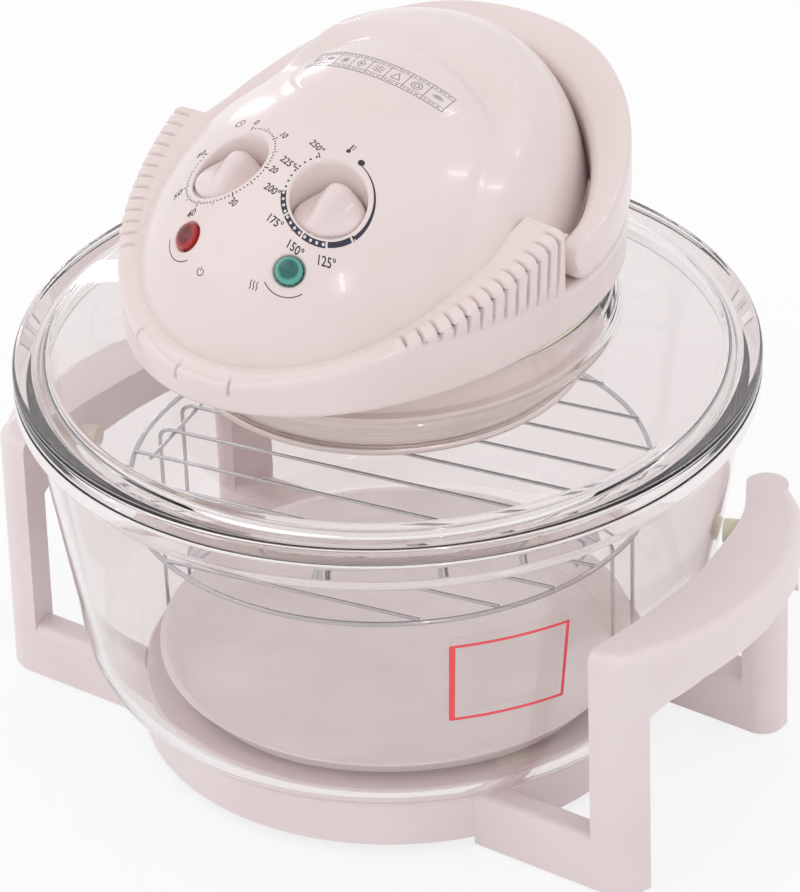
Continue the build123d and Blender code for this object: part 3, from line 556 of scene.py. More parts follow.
def soft_max(first, second, blend):
    """The larger of two lengths, rounded where they meet."""
    gap = abs(first - second)
    extra = max(blend - gap, 0) / blend
    return max(first, second) + extra * extra * blend / 4


def ramp(value, low, high):
    share = min(max((value - low) / (high - low), 0), 1)
    return share * share * (3 - 2 * share)


def behind_band(x, y):
    """How far a point in plan is behind the raised band's inner edge."""
    beside = (abs(x) - BAND_HALF + BAND_SPREAD * (y - BAND_BACK)) / math.hypot(1, BAND_SPREAD)
    return soft_max(y - BAND_BACK, beside, BAND_ROUNDING)


def cap_depth(point):
    """How far the cap is sunk at a place; its plan is a superellipse."""
    shares = (abs((at - middle) / half) ** (CAP_POWER / 2)
              for at, middle, half in zip(point.xy, CAP_MIDDLE, CAP_HALF))
    return CAP_SUNK * (1 - ramp(math.hypot(*shares) ** (2 / CAP_POWER), CAP_EDGE, 1.0))


def cover_reach(direction):
    """Distance from the cover's middle to its surface, along a direction."""
    outside = soft_max(ellipsoid_reach(DOME, direction), crown_reach(direction), CROWN_BLEND)
    sunk_dome, pad = (ellipsoid_reach(shape, direction, BAND_RISE) for shape in (DOME, PAD))
    inside = soft_max(sunk_dome, pad, PAD_BLEND)
    point = COVER_MIDDLE + outside * direction
    behind = behind_band(point.x, point.y)
    groove = BAND_GROOVE * math.exp(-((behind + GROOVE_AT) / GROOVE_HALF) ** 2)
    return inside + (outside - inside) * ramp(behind, *BAND_STEP) - groove - cap_depth(point)


def on_cover(point):
    """The point of the cover that is seen from its middle in the same direction."""
    direction = (point - COVER_MIDDLE).normalized()
    return COVER_MIDDLE + cover_reach(direction) * direction


def below_housing(point):
    """Whether a point of the cover is hidden in the housing under it."""
    start_y, start_z = CHEEK_START
    end_y, end_z = CHEEK_END
    if point.y > end_y:
        return point.z < DECK - COVER_TUCK
    return point.z < start_z + (end_z - start_z) * (point.y - start_y) / (end_y - start_y) - COVER_TUCK


class Spot:
    """A place on the cover with its own flat drawing frame: x to the right, y to the back."""

    def __init__(self, place, normal, side=1, turn=0.0):
        normal = Vector((side * normal[0], normal[1], normal[2])).normalized()
        across = Vector((1, 0, 0)) - normal.x * normal
        across.normalize()
        self.origin = Vector((side * place[0], place[1], place[2]))
        self.normal = normal
        self.across = Matrix.Rotation(math.radians(turn), 3, normal) @ across
        self.along = normal.cross(self.across)

    def point(self, x, y, height=0.0):
        return self.origin + x * self.across + y * self.along + height * self.normal

    def seat(self, x, y):
        """Height of the cover over the drawing plane."""
        def outside(height):
            offset = self.point(x, y, height) - COVER_MIDDLE
            reach = offset.length
            return reach - cover_reach(offset / reach)
        low, high = 0.0, -2.0
        out_low, out_high = outside(low), outside(high)
        for _ in range(8):
            if abs(out_high) < 0.004 or abs(out_high - out_low) < 1e-9:
                break
            step = out_high * (high - low) / (out_high - out_low)
            low, out_low = high, out_high
            high -= min(max(step, -8), 8)
            out_high = outside(high)
        return high

    def on(self, x, y, lift=0.0):
        return self.point(x, y, self.seat(x, y) + lift)

    def flat(self, point):
        """Drawing coordinates of a point in space."""
        offset = point - self.origin
        return offset.dot(self.across), offset.dot(self.along), offset.dot(self.normal)


DIAL_PLACE = (26.0, -74.2, 318.3)
DIAL_NORMAL = (0.0, 0.0, 1.0)
LENS_PLACE = (27.0, -106.0, 296.5)
LENS_NORMAL = (0.33, -0.67, 0.66)
DIALS = {side: Spot(DIAL_PLACE, DIAL_NORMAL, side) for side in (-1, 1)}
LENSES = {side: Spot(LENS_PLACE, LENS_NORMAL, side) for side in (-1, 1)}
WELL_MOUTH = 21.0       # the cover's mesh is redrawn as rings inside this radius
WELL_REACH = 25         # and this far above and below
WELL_RINGS = ((20.0, 1, 0), (19.0, 1, 0), (18.2, 1, 0), (17.7, 1, -0.1), (17.3, 1, -0.35),
              (17.0, 1, -0.75), (16.75, 1, -1.4), (16.6, 1, -2.4), (16.5, 0, -11.6), (16.4, 0, -13.2),
              (15.6, 0, -14.5), (10.0, 0, -14.5), (4.0, 0, -14.5))
LENS_RINGS = ((9.0, 1, 0), (8.2, 1, 0.0), (7.6, 1, -0.05), (7.2, 1, -0.3), (6.95, 1, -0.8), (6.8, 1, -1.6),
              (6.2, 1, -1.9))
LENS_MOUTH = 10.0
MOUTH_SEARCH = 8        # the open edge of a mouth is looked for this far outside it
RELAX_REACH = 7         # the mesh is evened out this far round a mouth, in so many rounds
RELAX_ROUNDS = 6


def sink_well(bm, spot, mouth, rings, closed):
    """Cuts a round hole in the cover and draws rings into it; a ring is (radius, follows cover, height)."""
    def near(vert):
        x, y, height = spot.flat(vert.co)
        return math.hypot(x, y) < mouth and abs(height) < WELL_REACH

    def outside(vert):
        x, y, height = spot.flat(vert.co)
        return math.hypot(x, y) < mouth + MOUTH_SEARCH and abs(height) < WELL_REACH

    inside = [face for face in bm.faces if any(near(vert) for vert in face.verts)]
    bmesh.ops.delete(bm, geom=inside, context="FACES")
    edges = [edge for edge in bm.edges if edge.is_boundary and all(outside(vert) for vert in edge.verts)]
    loop = ordered_loop(edges)
    angles = [math.atan2(*spot.flat(vert.co)[1::-1]) for vert in loop]
    turn = 1 if ordered_sum(angles) > 0 else -1
    start = angles[0]
    for number, vert in enumerate(loop):
        angle = start + turn * TAU * number / len(loop)
        vert.co = spot.on(mouth * math.cos(angle), mouth * math.sin(angle))
    for radius, follows, height in rings:
        made = bmesh.ops.extrude_edge_only(bm, edges=edges)["geom"]
        edges = [item for item in made if isinstance(item, bmesh.types.BMEdge)]
        for vert in {vert for edge in edges for vert in edge.verts}:
            x, y, _ = spot.flat(vert.co)
            angle = math.atan2(y, x)
            x, y = radius * math.cos(angle), radius * math.sin(angle)
            vert.co = spot.on(x, y, height) if follows else spot.point(x, y, height)
        edges = [edge for edge in edges if edge.is_boundary]
    if closed:
        bmesh.ops.contextual_create(bm, geom=edges)


def ordered_loop(edges):
    """The vertices of one closed ring of edges, in order."""
    ring = set(edges)
    edge = edges[0]
    vert = edge.verts[0]
    loop = []
    while edge:
        loop.append(vert)
        ring.discard(edge)
        vert = edge.other_vert(vert)
        edge = next((other for other in vert.link_edges if other in ring), None)
    return loop


def ordered_sum(angles):
    """Total turn of a list of angles, with each step taken the short way round."""
    steps = (b - a for a, b in zip(angles, angles[1:]))
    return sum((step + math.pi) % TAU - math.pi for step in steps)


def relax_round(bm, spot, mouth):
    """Evens out the cover's mesh round a well."""
    def close(vert):
        x, y, height = spot.flat(vert.co)
        return mouth + 0.05 < math.hypot(x, y) < mouth + RELAX_REACH and abs(height) < WELL_REACH

    around = [vert for vert in bm.verts if close(vert)]
    for _ in range(RELAX_ROUNDS):
        bmesh.ops.smooth_vert(bm, verts=around, factor=0.5, use_axis_x=True, use_axis_y=True, use_axis_z=True)
        for vert in around:
            vert.co = on_cover(vert.co)


def make_cover():
    bm = bmesh.new()
    bmesh.ops.create_uvsphere(bm, u_segments=COVER_MESH[0], v_segments=COVER_MESH[1], radius=1)
    for vert in bm.verts:
        direction = vert.co.normalized()
        vert.co = COVER_MIDDLE + cover_reach(direction) * direction
    hidden = [face for face in bm.faces if all(below_housing(vert.co) for vert in face.verts)]
    bmesh.ops.delete(bm, geom=hidden, context="FACES")
    for side in (-1, 1):
        for spot, mouth, rings in ((DIALS[side], WELL_MOUTH, WELL_RINGS), (LENSES[side], LENS_MOUTH, LENS_RINGS)):
            sink_well(bm, spot, mouth, rings, spot is DIALS[side])
            relax_round(bm, spot, mouth)
    bmesh.ops.scale(bm, vec=(MM, MM, MM), verts=bm.verts)
    piece = bm_object("cover_shell", bm, PLASTIC)
    wall = piece.modifiers.new("wall", "SOLIDIFY")
    wall.thickness = COVER_WALL * MM
    wall.offset = -1
    return replace(piece, "lid", "white_plastic", "top_cover")


# ---------------------------------------------------------------- housing and handle

def loops(bm, rings, closed):
    """Joins rings of points, all of one length, into a skin; a closed skin comes back to its first ring."""
    first = [bm.verts.new(Vector(point) * MM) for point in rings[0]]
    edges = [bm.edges.new(pair) for pair in zip(first, first[1:] + first[:1])]
    verts, start = first, edges
    for ring in rings[1:]:
        made = bmesh.ops.extrude_edge_only(bm, edges=edges)["geom"]
        fresh = {item for item in made if isinstance(item, bmesh.types.BMVert)}
        verts = [next(edge.other_vert(vert) for edge in vert.link_edges if edge.other_vert(vert) in fresh)
                 for vert in verts]
        edges = [item for item in made if isinstance(item, bmesh.types.BMEdge)
                 and all(vert in fresh for vert in item.verts)]
        for vert, point in zip(verts, ring):
            vert.co = Vector(point) * MM
    if closed:
        bmesh.ops.bridge_loops(bm, edges=start + edges)
    else:
        bmesh.ops.contextual_create(bm, geom=start)
        bmesh.ops.contextual_create(bm, geom=edges)


SKIRT_LOW = 238.0
HALF_WIDTH = 101.5
HOUSING_Y = 5.0
HOUSING_FRONT = 144.0
HOUSING_REAR = 112.0
DRAFT = 3.6
DRAFT_HEIGHT = 62.0
LIP = (-136.0, 252.5)
FLOOR_R = 84.0
SHOULDER = 3.5          # rounding of the housing's top edge
SHELF = 21.0            # how far the top goes in under the cover
VENT_Y = (-90.0, -14.0)
VENT_COUNT = 13
VENT_LOW = (267.0, 262.5)
VENT_CUT = 3.4          # depth and half-width of the cuts between the ribs
VENT_CUT_HALF = 0.62
RIB = 0.75              # how far the ribs stand out
NOTCH_X = (-39.5, -12.0, 15.5)
NOTCH_DEPTH = 1.8
NOTCH_HALF = 0.62
NOTCH_START = (7, 5.5)  # a notch fades in between these distances under the top
SKIRT_FOOT = 1.6        # the straight wall starts this far above the skirt's lower edge
HOUSING_WALL = 4.2
HOUSING_FLOOR = 3
OUTLINE_STEPS = 240
VENT_SAMPLES = 230      # finer steps beside the vents, from the first y on, this far apart
VENT_SAMPLE_START = -95
VENT_SAMPLE_STEP = 0.42


def housing_angles():
    """Angles round the housing's outline, close together at the vents, the notches and the cheeks' ends."""
    angles = {round(TAU * number / OUTLINE_STEPS, 5) for number in range(OUTLINE_STEPS)}
    for number in range(VENT_SAMPLES):
        y = VENT_SAMPLE_START + number * VENT_SAMPLE_STEP
        angle = math.asin((y - HOUSING_Y) / HOUSING_FRONT)
        angles.update((round(angle % TAU, 5), round(math.pi - angle, 5)))
    for x in NOTCH_X:
        for step in range(-4, 5):
            angles.add(round(TAU - math.acos((x + step * 0.4) / HALF_WIDTH), 5))
    ordered = sorted(angles)
    return [angle for angle, after in zip(ordered, ordered[1:] + [ordered[0] + TAU]) if after - angle > 0.0012]


def housing_top(y):
    """Height of the housing's top: lip, sloping cheeks, deck."""
    if y < CHEEK_START[0]:
        return LIP[1] + (CHEEK_START[1] - LIP[1]) * ramp(y, LIP[0] - 3, CHEEK_START[0])
    (start_y, start_z), (end_y, end_z) = CHEEK_START, CHEEK_END
    slope = start_z + (end_z - start_z) * (y - start_y) / (end_y - start_y)
    drop = ramp(y, end_y - 2.0, end_y + 0.6)
    return slope + (DECK - slope) * drop


def outline_point(angle, inset, height):
    """A point of the housing's wall, moved inwards along its normal."""
    grow = DRAFT * (height - SKIRT_LOW) / DRAFT_HEIGHT
    half, depth = HALF_WIDTH + grow, (HOUSING_FRONT if math.sin(angle) < 0 else HOUSING_REAR) + grow
    normal = Vector((math.cos(angle) / half, math.sin(angle) / depth)).normalized()
    return (half * math.cos(angle) - inset * normal.x, HOUSING_Y + depth * math.sin(angle) - inset * normal.y)


def vent_relief(y, height, inset):
    """How far a rib stands out of the wall at a place; less than nothing in a cut."""
    pitch = (VENT_Y[1] - VENT_Y[0]) / (VENT_COUNT - 1)
    share = (y - VENT_Y[0]) / pitch
    if not -0.6 < share < VENT_COUNT - 0.4:
        return 0.0
    low = VENT_LOW[0] + (VENT_LOW[1] - VENT_LOW[0]) * (y - VENT_Y[0]) / (VENT_Y[1] - VENT_Y[0])
    reach = ramp(height, low - 1.5, low + 2.5) * (1 - ramp(inset, 6.5, 9.0))
    ends = ramp(share, -0.6, -0.3) * (1 - ramp(share, VENT_COUNT - 0.7, VENT_COUNT - 0.4))
    away = abs(share - round(share)) * pitch
    cut = math.exp(-(away / VENT_CUT_HALF) ** 4)
    crown = RIB * math.sin(math.pi * min(away / pitch, 0.5)) ** 0.7
    return (crown - VENT_CUT * cut) * reach * ends


def notch_relief(x, y, height, top):
    """How far the front lip's notches go in at a place; less than nothing in a notch."""
    if y > 0:
        return 0.0
    start = ramp(height, top - NOTCH_START[0], top - NOTCH_START[1])
    return sum(-NOTCH_DEPTH * math.exp(-((x - at) / NOTCH_HALF) ** 4) * start for at in NOTCH_X)


def make_housing():
    angles = housing_angles()

    def ring(place):
        return [place(angle) for angle in angles]

    def floor(height):
        return lambda angle: (FLOOR_R * math.cos(angle), FLOOR_R * math.sin(angle) + HOUSING_Y * 0.2, height)

    def wall(share, inset=0.0, low=None):
        def place(angle):
            plain = outline_point(angle, 0, SKIRT_LOW)
            top = housing_top(plain[1])
            reach = top - SHOULDER - SKIRT_LOW - SKIRT_FOOT
            height = low if low is not None else SKIRT_LOW + SKIRT_FOOT + reach * share
            x, y = outline_point(angle, inset, height)
            relief = vent_relief(y, height, 0) + notch_relief(x, y, height, top)
            x, y = outline_point(angle, inset - relief, height)
            return (x, y, height)
        return place

    def shoulder(degrees):
        def place(angle):
            plain = outline_point(angle, 0, SKIRT_LOW)
            top = housing_top(plain[1])
            height = top - SHOULDER * (1 - math.sin(math.radians(degrees)))
            inset = SHOULDER * (1 - math.cos(math.radians(degrees)))
            relief = vent_relief(plain[1], height, inset) + notch_relief(plain[0], plain[1], height, top)
            lean = math.radians(degrees)
            x, y = outline_point(angle, inset - relief * math.cos(lean), height)
            return (x, y, height + relief * math.sin(lean))
        return place

    def shelf(inset, drop=0.0):
        def place(angle):
            plain = outline_point(angle, 0, SKIRT_LOW)
            x, y = outline_point(angle, inset, housing_top(plain[1]))
            relief = vent_relief(plain[1], 300, inset) + notch_relief(plain[0], plain[1], 300, 290) * (inset < 5)
            return (x, y, housing_top(y if plain[1] < CHEEK_END[0] - 4 else plain[1]) + relief - drop)
        return place

    def inner(height):
        def place(angle):
            x, y = outline_point(angle, HOUSING_WALL, height)
            return (x, y, height)
        return place

    rings = [ring(floor(SKIRT_LOW)), ring(wall(0, 1.2, SKIRT_LOW)), ring(wall(0, 0.35, SKIRT_LOW + 0.45))]
    rings += [ring(wall(number / 16)) for number in range(17)]
    rings += [ring(shoulder(degrees)) for degrees in (20, 40, 60, 78, 90)]
    rings += [ring(shelf(inset)) for inset in (5.0, 6.5, 8.0, 9.5, 13.0, SHELF)]
    rings += [ring(shelf(SHELF, 3.0)), ring(inner(250.0))]
    rings += [ring(inner(SKIRT_LOW + HOUSING_FLOOR)), ring(floor(SKIRT_LOW + HOUSING_FLOOR))]
    bm = bmesh.new()
    loops(bm, rings, True)
    piece = bm_object("housing_shell", bm, PLASTIC, angle=50)
    return replace(piece, "lid", "white_plastic", "lower_housing")


HINGE = (8.0, 270.0)
HINGE_R = 10.0
BAIL_OUT = (105.0, 116.0)
BAIL_OUT_POWER = 1.95   # both plan outlines are superellipses, a little flatter than ellipses at the corners
BAIL_IN = (93.5, 95.0)
BAIL_IN_POWER = 1.72
BAIL_Y = 5.0
BAIL_EDGE = 4.2
BAIL_STEPS = 150
BAIL_LOW = ((8, 260), (24, 261), (40, 262.5), (62, 267), (90, 277.5), (112, 279.5), (135, 280))
BAIL_TOP = ((8, 280), (22, 281), (46, 288), (70, 296), (92, 304), (112, 310), (135, 311))


def profile_height(profile, y):
    for (y0, h0), (y1, h1) in zip(profile, profile[1:]):
        if y <= y1:
            return h0 + (h1 - h0) * max(y - y0, 0) / (y1 - y0)
    return profile[-1][1]


def eased_height(profile, y):
    return sum(profile_height(profile, y + step) for step in (-6, -3, 0, 3, 6)) / 5


def bail_section(inside, outside, low, top):
    """A rounded section between two points in plan; low and top give heights at a y."""
    inside, outside = Vector(inside), Vector(outside)
    width = (outside - inside).length
    half_height = (top(inside.y) - low(inside.y)) / 2
    radius = min(BAIL_EDGE, 0.48 * width, half_height)
    points = []
    for corner, (side, up) in enumerate(((1, -1), (1, 1), (-1, 1), (-1, -1))):
        for step in range(7):
            turn = math.radians(-90 + 90 * corner + 15 * step)
            across = (width / 2 - radius) * side + radius * math.cos(turn)
            plan = inside + (outside - inside) * (0.5 + across / width)
            base = top(plan.y) - radius if up > 0 else low(plan.y) + radius
            points.append((plan.x, plan.y, base + radius * math.sin(turn)))
    return points


def bail_plan(axes, power, angle):
    across, along = math.cos(angle), max(math.sin(angle), 0)
    across = math.copysign(abs(across) ** (2 / power), across)
    return (axes[0] * across, BAIL_Y + axes[1] * along ** (2 / power))


def pin_end(side, degrees):
    """A section of the round end about the pin."""
    turn = math.radians(degrees)
    y, half = HINGE[0] - HINGE_R * math.sin(turn), HINGE_R * math.cos(turn)
    return bail_section((side * BAIL_IN[0], y), (side * BAIL_OUT[0], y), lambda _: HINGE[1] - half,
                        lambda _: HINGE[1] + half)


def make_handle():
    rings = [pin_end(1, degrees) for degrees in range(84, 0, -6)]
    start = math.degrees(math.asin(((HINGE[0] - BAIL_Y) / BAIL_OUT[1]) ** (BAIL_OUT_POWER / 2)))
    for number in range(BAIL_STEPS + 1):
        angle = math.radians(start + (180 - 2 * start) * number / BAIL_STEPS)
        inside = bail_plan(BAIL_IN, BAIL_IN_POWER, angle)
        outside = bail_plan(BAIL_OUT, BAIL_OUT_POWER, angle)
        rings.append(bail_section(inside, outside, lambda y: eased_height(BAIL_LOW, y),
                                  lambda y: eased_height(BAIL_TOP, y)))
    rings += [pin_end(-1, degrees) for degrees in range(6, 90, 6)]
    bm = bmesh.new()
    loops(bm, rings, False)
    piece = bm_object("bail", bm, PLASTIC, angle=60)
    return replace(piece, "handle", "handle_plastic", "carry_handle")


PIN_SEAT_R = 7.0
PIN_SEAT_LENGTH = 16
PIN_SEAT_EDGE = 0.8
PIN_SEAT_X = 84.6       # middle of each boss, out from the axis


def make_pin_seats():
    """The two bosses that the handle's pins go through."""
    bm = bmesh.new()
    for side in (-1, 1):
        made = bmesh.ops.create_cone(bm, cap_ends=True, segments=64, radius1=PIN_SEAT_R, radius2=PIN_SEAT_R,
                                     depth=PIN_SEAT_LENGTH)["verts"]
        rim = [edge for edge in {edge for vert in made for edge in vert.link_edges}
               if len(edge.link_faces) == 2 and edge.calc_face_angle(0) > 1]
        made = bmesh.ops.bevel(bm, geom=rim, offset=PIN_SEAT_EDGE, segments=3, profile=0.5, affect="EDGES",
                               material=-1)["verts"] + [vert for vert in made if vert.is_valid]
        bmesh.ops.rotate(bm, verts=list(set(made)), cent=(0, 0, 0), matrix=Matrix.Rotation(math.pi / 2, 3, "Y"))
        bmesh.ops.translate(bm, verts=list(set(made)), vec=(side * PIN_SEAT_X, HINGE[0], HINGE[1]))
    bmesh.ops.scale(bm, vec=(MM, MM, MM), verts=bm.verts)
    piece = bm_object("pin_seats", bm, PLASTIC, angle=40)
    return replace(piece, "lid", "white_plastic")


# ---------------------------------------------------------------- knobs and lenses

KNOB_R = 15.8
KNOB_LOW = -14.2
KNOB_EDGE = -9.9
KNOB_BODIES = {-1: ("timer", "timer_knob"), 1: ("thermostat_dial", "thermostat_knob")}
GRIP_TURN = 98.0
CREST = ((-15.8, 0.5), (-13.0, 4.8), (-8.0, 7.6), (0.0, 10.4), (7.0, 11.3), (12.0, 9.0), (15.8, 0.6))
FLANK = 6.4             # half-width of the grip halfway up


def crest_height(along):
    """Height of the grip's crest over the disc, smooth between the listed points."""
    for (x0, h0), (x1, h1) in zip(CREST, CREST[1:]):
        if along <= x1:
            return h0 + (h1 - h0) * ramp(along, x0, x1) if h1 < h0 or x0 > 0 else \
                h0 + (h1 - h0) * max(along - x0, 0) / (x1 - x0)
    return CREST[-1][1]


def knob_height(x, y):
    """Top of a knob over its drawing plane: a saddle-shaped grip that runs along x."""
    crest = sum(crest_height(x + step) for step in (-1.6, -0.8, 0, 0.8, 1.6)) / 5
    across = 1 / (1 + (abs(y) / (FLANK + 0.12 * x)) ** 2.6)
    edge = 1 - (min(math.hypot(x, y) / KNOB_R, 1)) ** 14
    return KNOB_EDGE + crest * across * edge


def make_knob(side):
    spot = Spot(DIAL_PLACE, DIAL_NORMAL, side, GRIP_TURN)
    rings = [KNOB_R * (number / 34) ** 0.9 for number in range(34)] + [KNOB_R - 0.15, KNOB_R]
    bm = bmesh.new()
    verts = [bm.verts.new((radius, 0, 0)) for radius in rings]
    edges = [bm.edges.new(pair) for pair in zip(verts, verts[1:])]
    bmesh.ops.spin(bm, geom=verts + edges, cent=(0, 0, 0), axis=(0, 0, 1), angle=TAU, steps=120, use_merge=True)
    bmesh.ops.remove_doubles(bm, verts=bm.verts, dist=1e-5)
    for vert in bm.verts:
        radius = vert.co.xy.length
        drop = 0.9 * (max(radius - KNOB_R + 0.9, 0) / 0.9) ** 2
        height = knob_height(vert.co.x, vert.co.y) - drop
        vert.co = spot.point(vert.co.x, vert.co.y, height)
    rim = [edge for edge in bm.edges if edge.is_boundary]
    made = bmesh.ops.extrude_edge_only(bm, edges=rim)["geom"]
    for vert in (item for item in made if isinstance(item, bmesh.types.BMVert)):
        x, y, _ = spot.flat(vert.co)
        vert.co = spot.point(x, y, KNOB_LOW)
    bottom = [item for item in made if isinstance(item, bmesh.types.BMEdge) and item.is_boundary]
    bmesh.ops.contextual_create(bm, geom=bottom)
    bmesh.ops.scale(bm, vec=(MM, MM, MM), verts=bm.verts)
    body, node = KNOB_BODIES[side]
    piece = bm_object(f"{body}_grip", bm, KNOB_PLASTIC, angle=50)
    return replace(piece, body, "knob_plastic", node)


LENS_STEPS = ((6.1, -3.0), (6.1, 0.7), (5.5, 1.5), (3.4, 2.3), (0, 2.6))
LENS_FACETS = 14


def make_lens(side, name, material, slot, node):
    """A cap in rings of flat facets that rise to a low point in the middle."""
    spot = LENSES[side]
    bm = bmesh.new()
    verts = [bm.verts.new((radius, 0, height)) for radius, height in LENS_STEPS]
    edges = [bm.edges.new(pair) for pair in zip(verts, verts[1:])]
    bmesh.ops.spin(bm, geom=verts + edges, cent=(0, 0, 0), axis=(0, 0, 1), angle=TAU, steps=LENS_FACETS,
                   use_merge=True)
    bmesh.ops.remove_doubles(bm, verts=bm.verts, dist=1e-5)
    bmesh.ops.contextual_create(bm, geom=[edge for edge in bm.edges if edge.is_boundary])
    level = spot.seat(0, 0)
    for vert in bm.verts:
        vert.co = spot.point(vert.co.x, vert.co.y, vert.co.z + level)
    bmesh.ops.scale(bm, vec=(MM, MM, MM), verts=bm.verts)
    piece = bm_object(name, bm, material, smooth=False)
    return replace(piece, "lid", slot, node)


# ---------------------------------------------------------------- printing

LETTER_WEIGHT = 0.012   # how much bolder the lettering is, as a share of its size


class Drawing:
    """Flat printing in millimetres, laid on a surface when it is done."""

    def __init__(self):
        self.bm = bmesh.new()

    def band(self, radius, width, start, end, end_width=None, centre=(0, 0)):
        """An arc with a width, from one angle to another, in degrees."""
        steps = max(3, int(abs(end - start) / 3))
        edge = [self.bm.verts.new((radius + half, 0, 0)) for half in (-width / 2, width / 2)]
        first = self.bm.edges.new(edge)
        turn = Matrix.Rotation(math.radians(start), 3, "Z")
        bmesh.ops.rotate(self.bm, verts=edge, cent=(0, 0, 0), matrix=turn)
        before = set(self.bm.verts)
        bmesh.ops.spin(self.bm, geom=[*edge, first], cent=(0, 0, 0), axis=(0, 0, 1),
                       angle=math.radians(end - start), steps=steps)
        made = [vert for vert in self.bm.verts if vert not in before] + edge
        if end_width is not None:
            for vert in made:
                angle = math.degrees(math.atan2(vert.co.y, vert.co.x))
                share = ((angle - start) % 360) / ((end - start) % 360)
                half = (width + (end_width - width) * share) / 2
                outer = vert.co.length > radius
                vert.co = vert.co.normalized() * (radius + (half if outer else -half))
        bmesh.ops.translate(self.bm, vec=(*centre, 0), verts=made)

    def stroke(self, start, end, width):
        """A straight line between two points, cut into short faces so that it can bend."""
        start, end = Vector(start), Vector(end)
        along = end - start
        side = Vector((-along.y, along.x)).normalized() * width / 2
        cuts = max(1, int(along.length / 2))
        rows = []
        for number in range(cuts + 1):
            middle = start + along * number / cuts
            rows.append([self.bm.verts.new((*(middle + side * sign), 0)) for sign in (-1, 1)])
        for (a, b), (c, d) in zip(rows, rows[1:]):
            self.bm.faces.new((a, c, d, b))

    def spoke(self, angle, inner, outer, width):
        direction = Vector((math.cos(math.radians(angle)), math.sin(math.radians(angle))))
        self.stroke(direction * inner, direction * outer, width)

    def path(self, points, width):
        for start, end in zip(points, points[1:]):
            self.stroke(start, end, width)

    def dot(self, x, y, radius):
        made = bmesh.ops.create_circle(self.bm, cap_ends=True, segments=16, radius=radius)["verts"]
        bmesh.ops.translate(self.bm, vec=(x, y, 0), verts=made)

    def text(self, words, x, y, size, turn=0.0):
        """Upright lettering, centred on a point."""
        curve = bpy.data.curves.new("lettering", "FONT")
        curve.body = words
        curve.size = size
        curve.align_x = "CENTER"
        curve.align_y = "CENTER"
        curve.resolution_u = 3
        curve.offset = LETTER_WEIGHT * size
        holder = bpy.data.objects.new("lettering", curve)
        mesh = holder.to_mesh()
        mesh.transform(Matrix.Translation((x, y, 0)) @ Matrix.Rotation(math.radians(turn), 4, "Z"))
        self.bm.from_mesh(mesh)
        holder.to_mesh_clear()
        bpy.data.objects.remove(holder)
        bpy.data.curves.remove(curve)

    def lay(self, name, material, place, body="lid", slot="white_plastic"):
        """Moves every vertex to its place on the surface and makes the piece."""
        for vert in self.bm.verts:
            vert.co = place(vert.co.x, vert.co.y) * MM
        piece = bm_object(name, self.bm, material, recalc=False)
        return replace(piece, body, slot)


INK_LIFT = 0.07
TIMER_ZERO = 97.0       # degrees, and the turn for ten minutes
TIMER_STEP = -49.6
TIMER_RING = 19.6
TIMER_NUMBERS = 23.8
TIMER_TURNS = (-6, -22, -12, -20, 14, 26, 10)
HEAT_FIRST = -58.5      # degrees of the lowest temperature, and the turn for 25 degrees
HEAT_STEP = -33.0
HEAT_RING = 19.5
HEAT_BAND = 2.3
HEAT_NUMBERS = 24.9
HEAT_TURNS = (24, -2, -8, -12, -16, -20)


def place_on(spot, lift):
    return lambda x, y: spot.on(x, y, lift)


def polar(radius, angle):
    return radius * math.cos(math.radians(angle)), radius * math.sin(math.radians(angle))


def print_timer():
    marks = Drawing()
    for minute in range(61):
        angle = TIMER_ZERO + TIMER_STEP * minute / 10
        if minute % 5:
            marks.spoke(angle, TIMER_RING - 0.35, TIMER_RING + 0.35, 0.62)
        else:
            marks.spoke(angle, TIMER_RING - 0.9, TIMER_RING + 1.5, 0.5 if minute % 10 == 0 else 0.32)
    for number, turn in enumerate(TIMER_TURNS):
        angle = TIMER_ZERO + TIMER_STEP * number
        marks.text(str(10 * number), *polar(TIMER_NUMBERS, angle), 4.2, turn)
    clock = (-12.0, 24.0)
    marks.band(2.1, 0.4, 0, 359.9, centre=clock)
    marks.path([(clock[0], clock[1] + 1.3), clock, (clock[0] + 1.0, clock[1] - 0.6)], 0.4)
    marks.lay("timer_marks", INK, place_on(DIALS[-1], INK_LIFT))


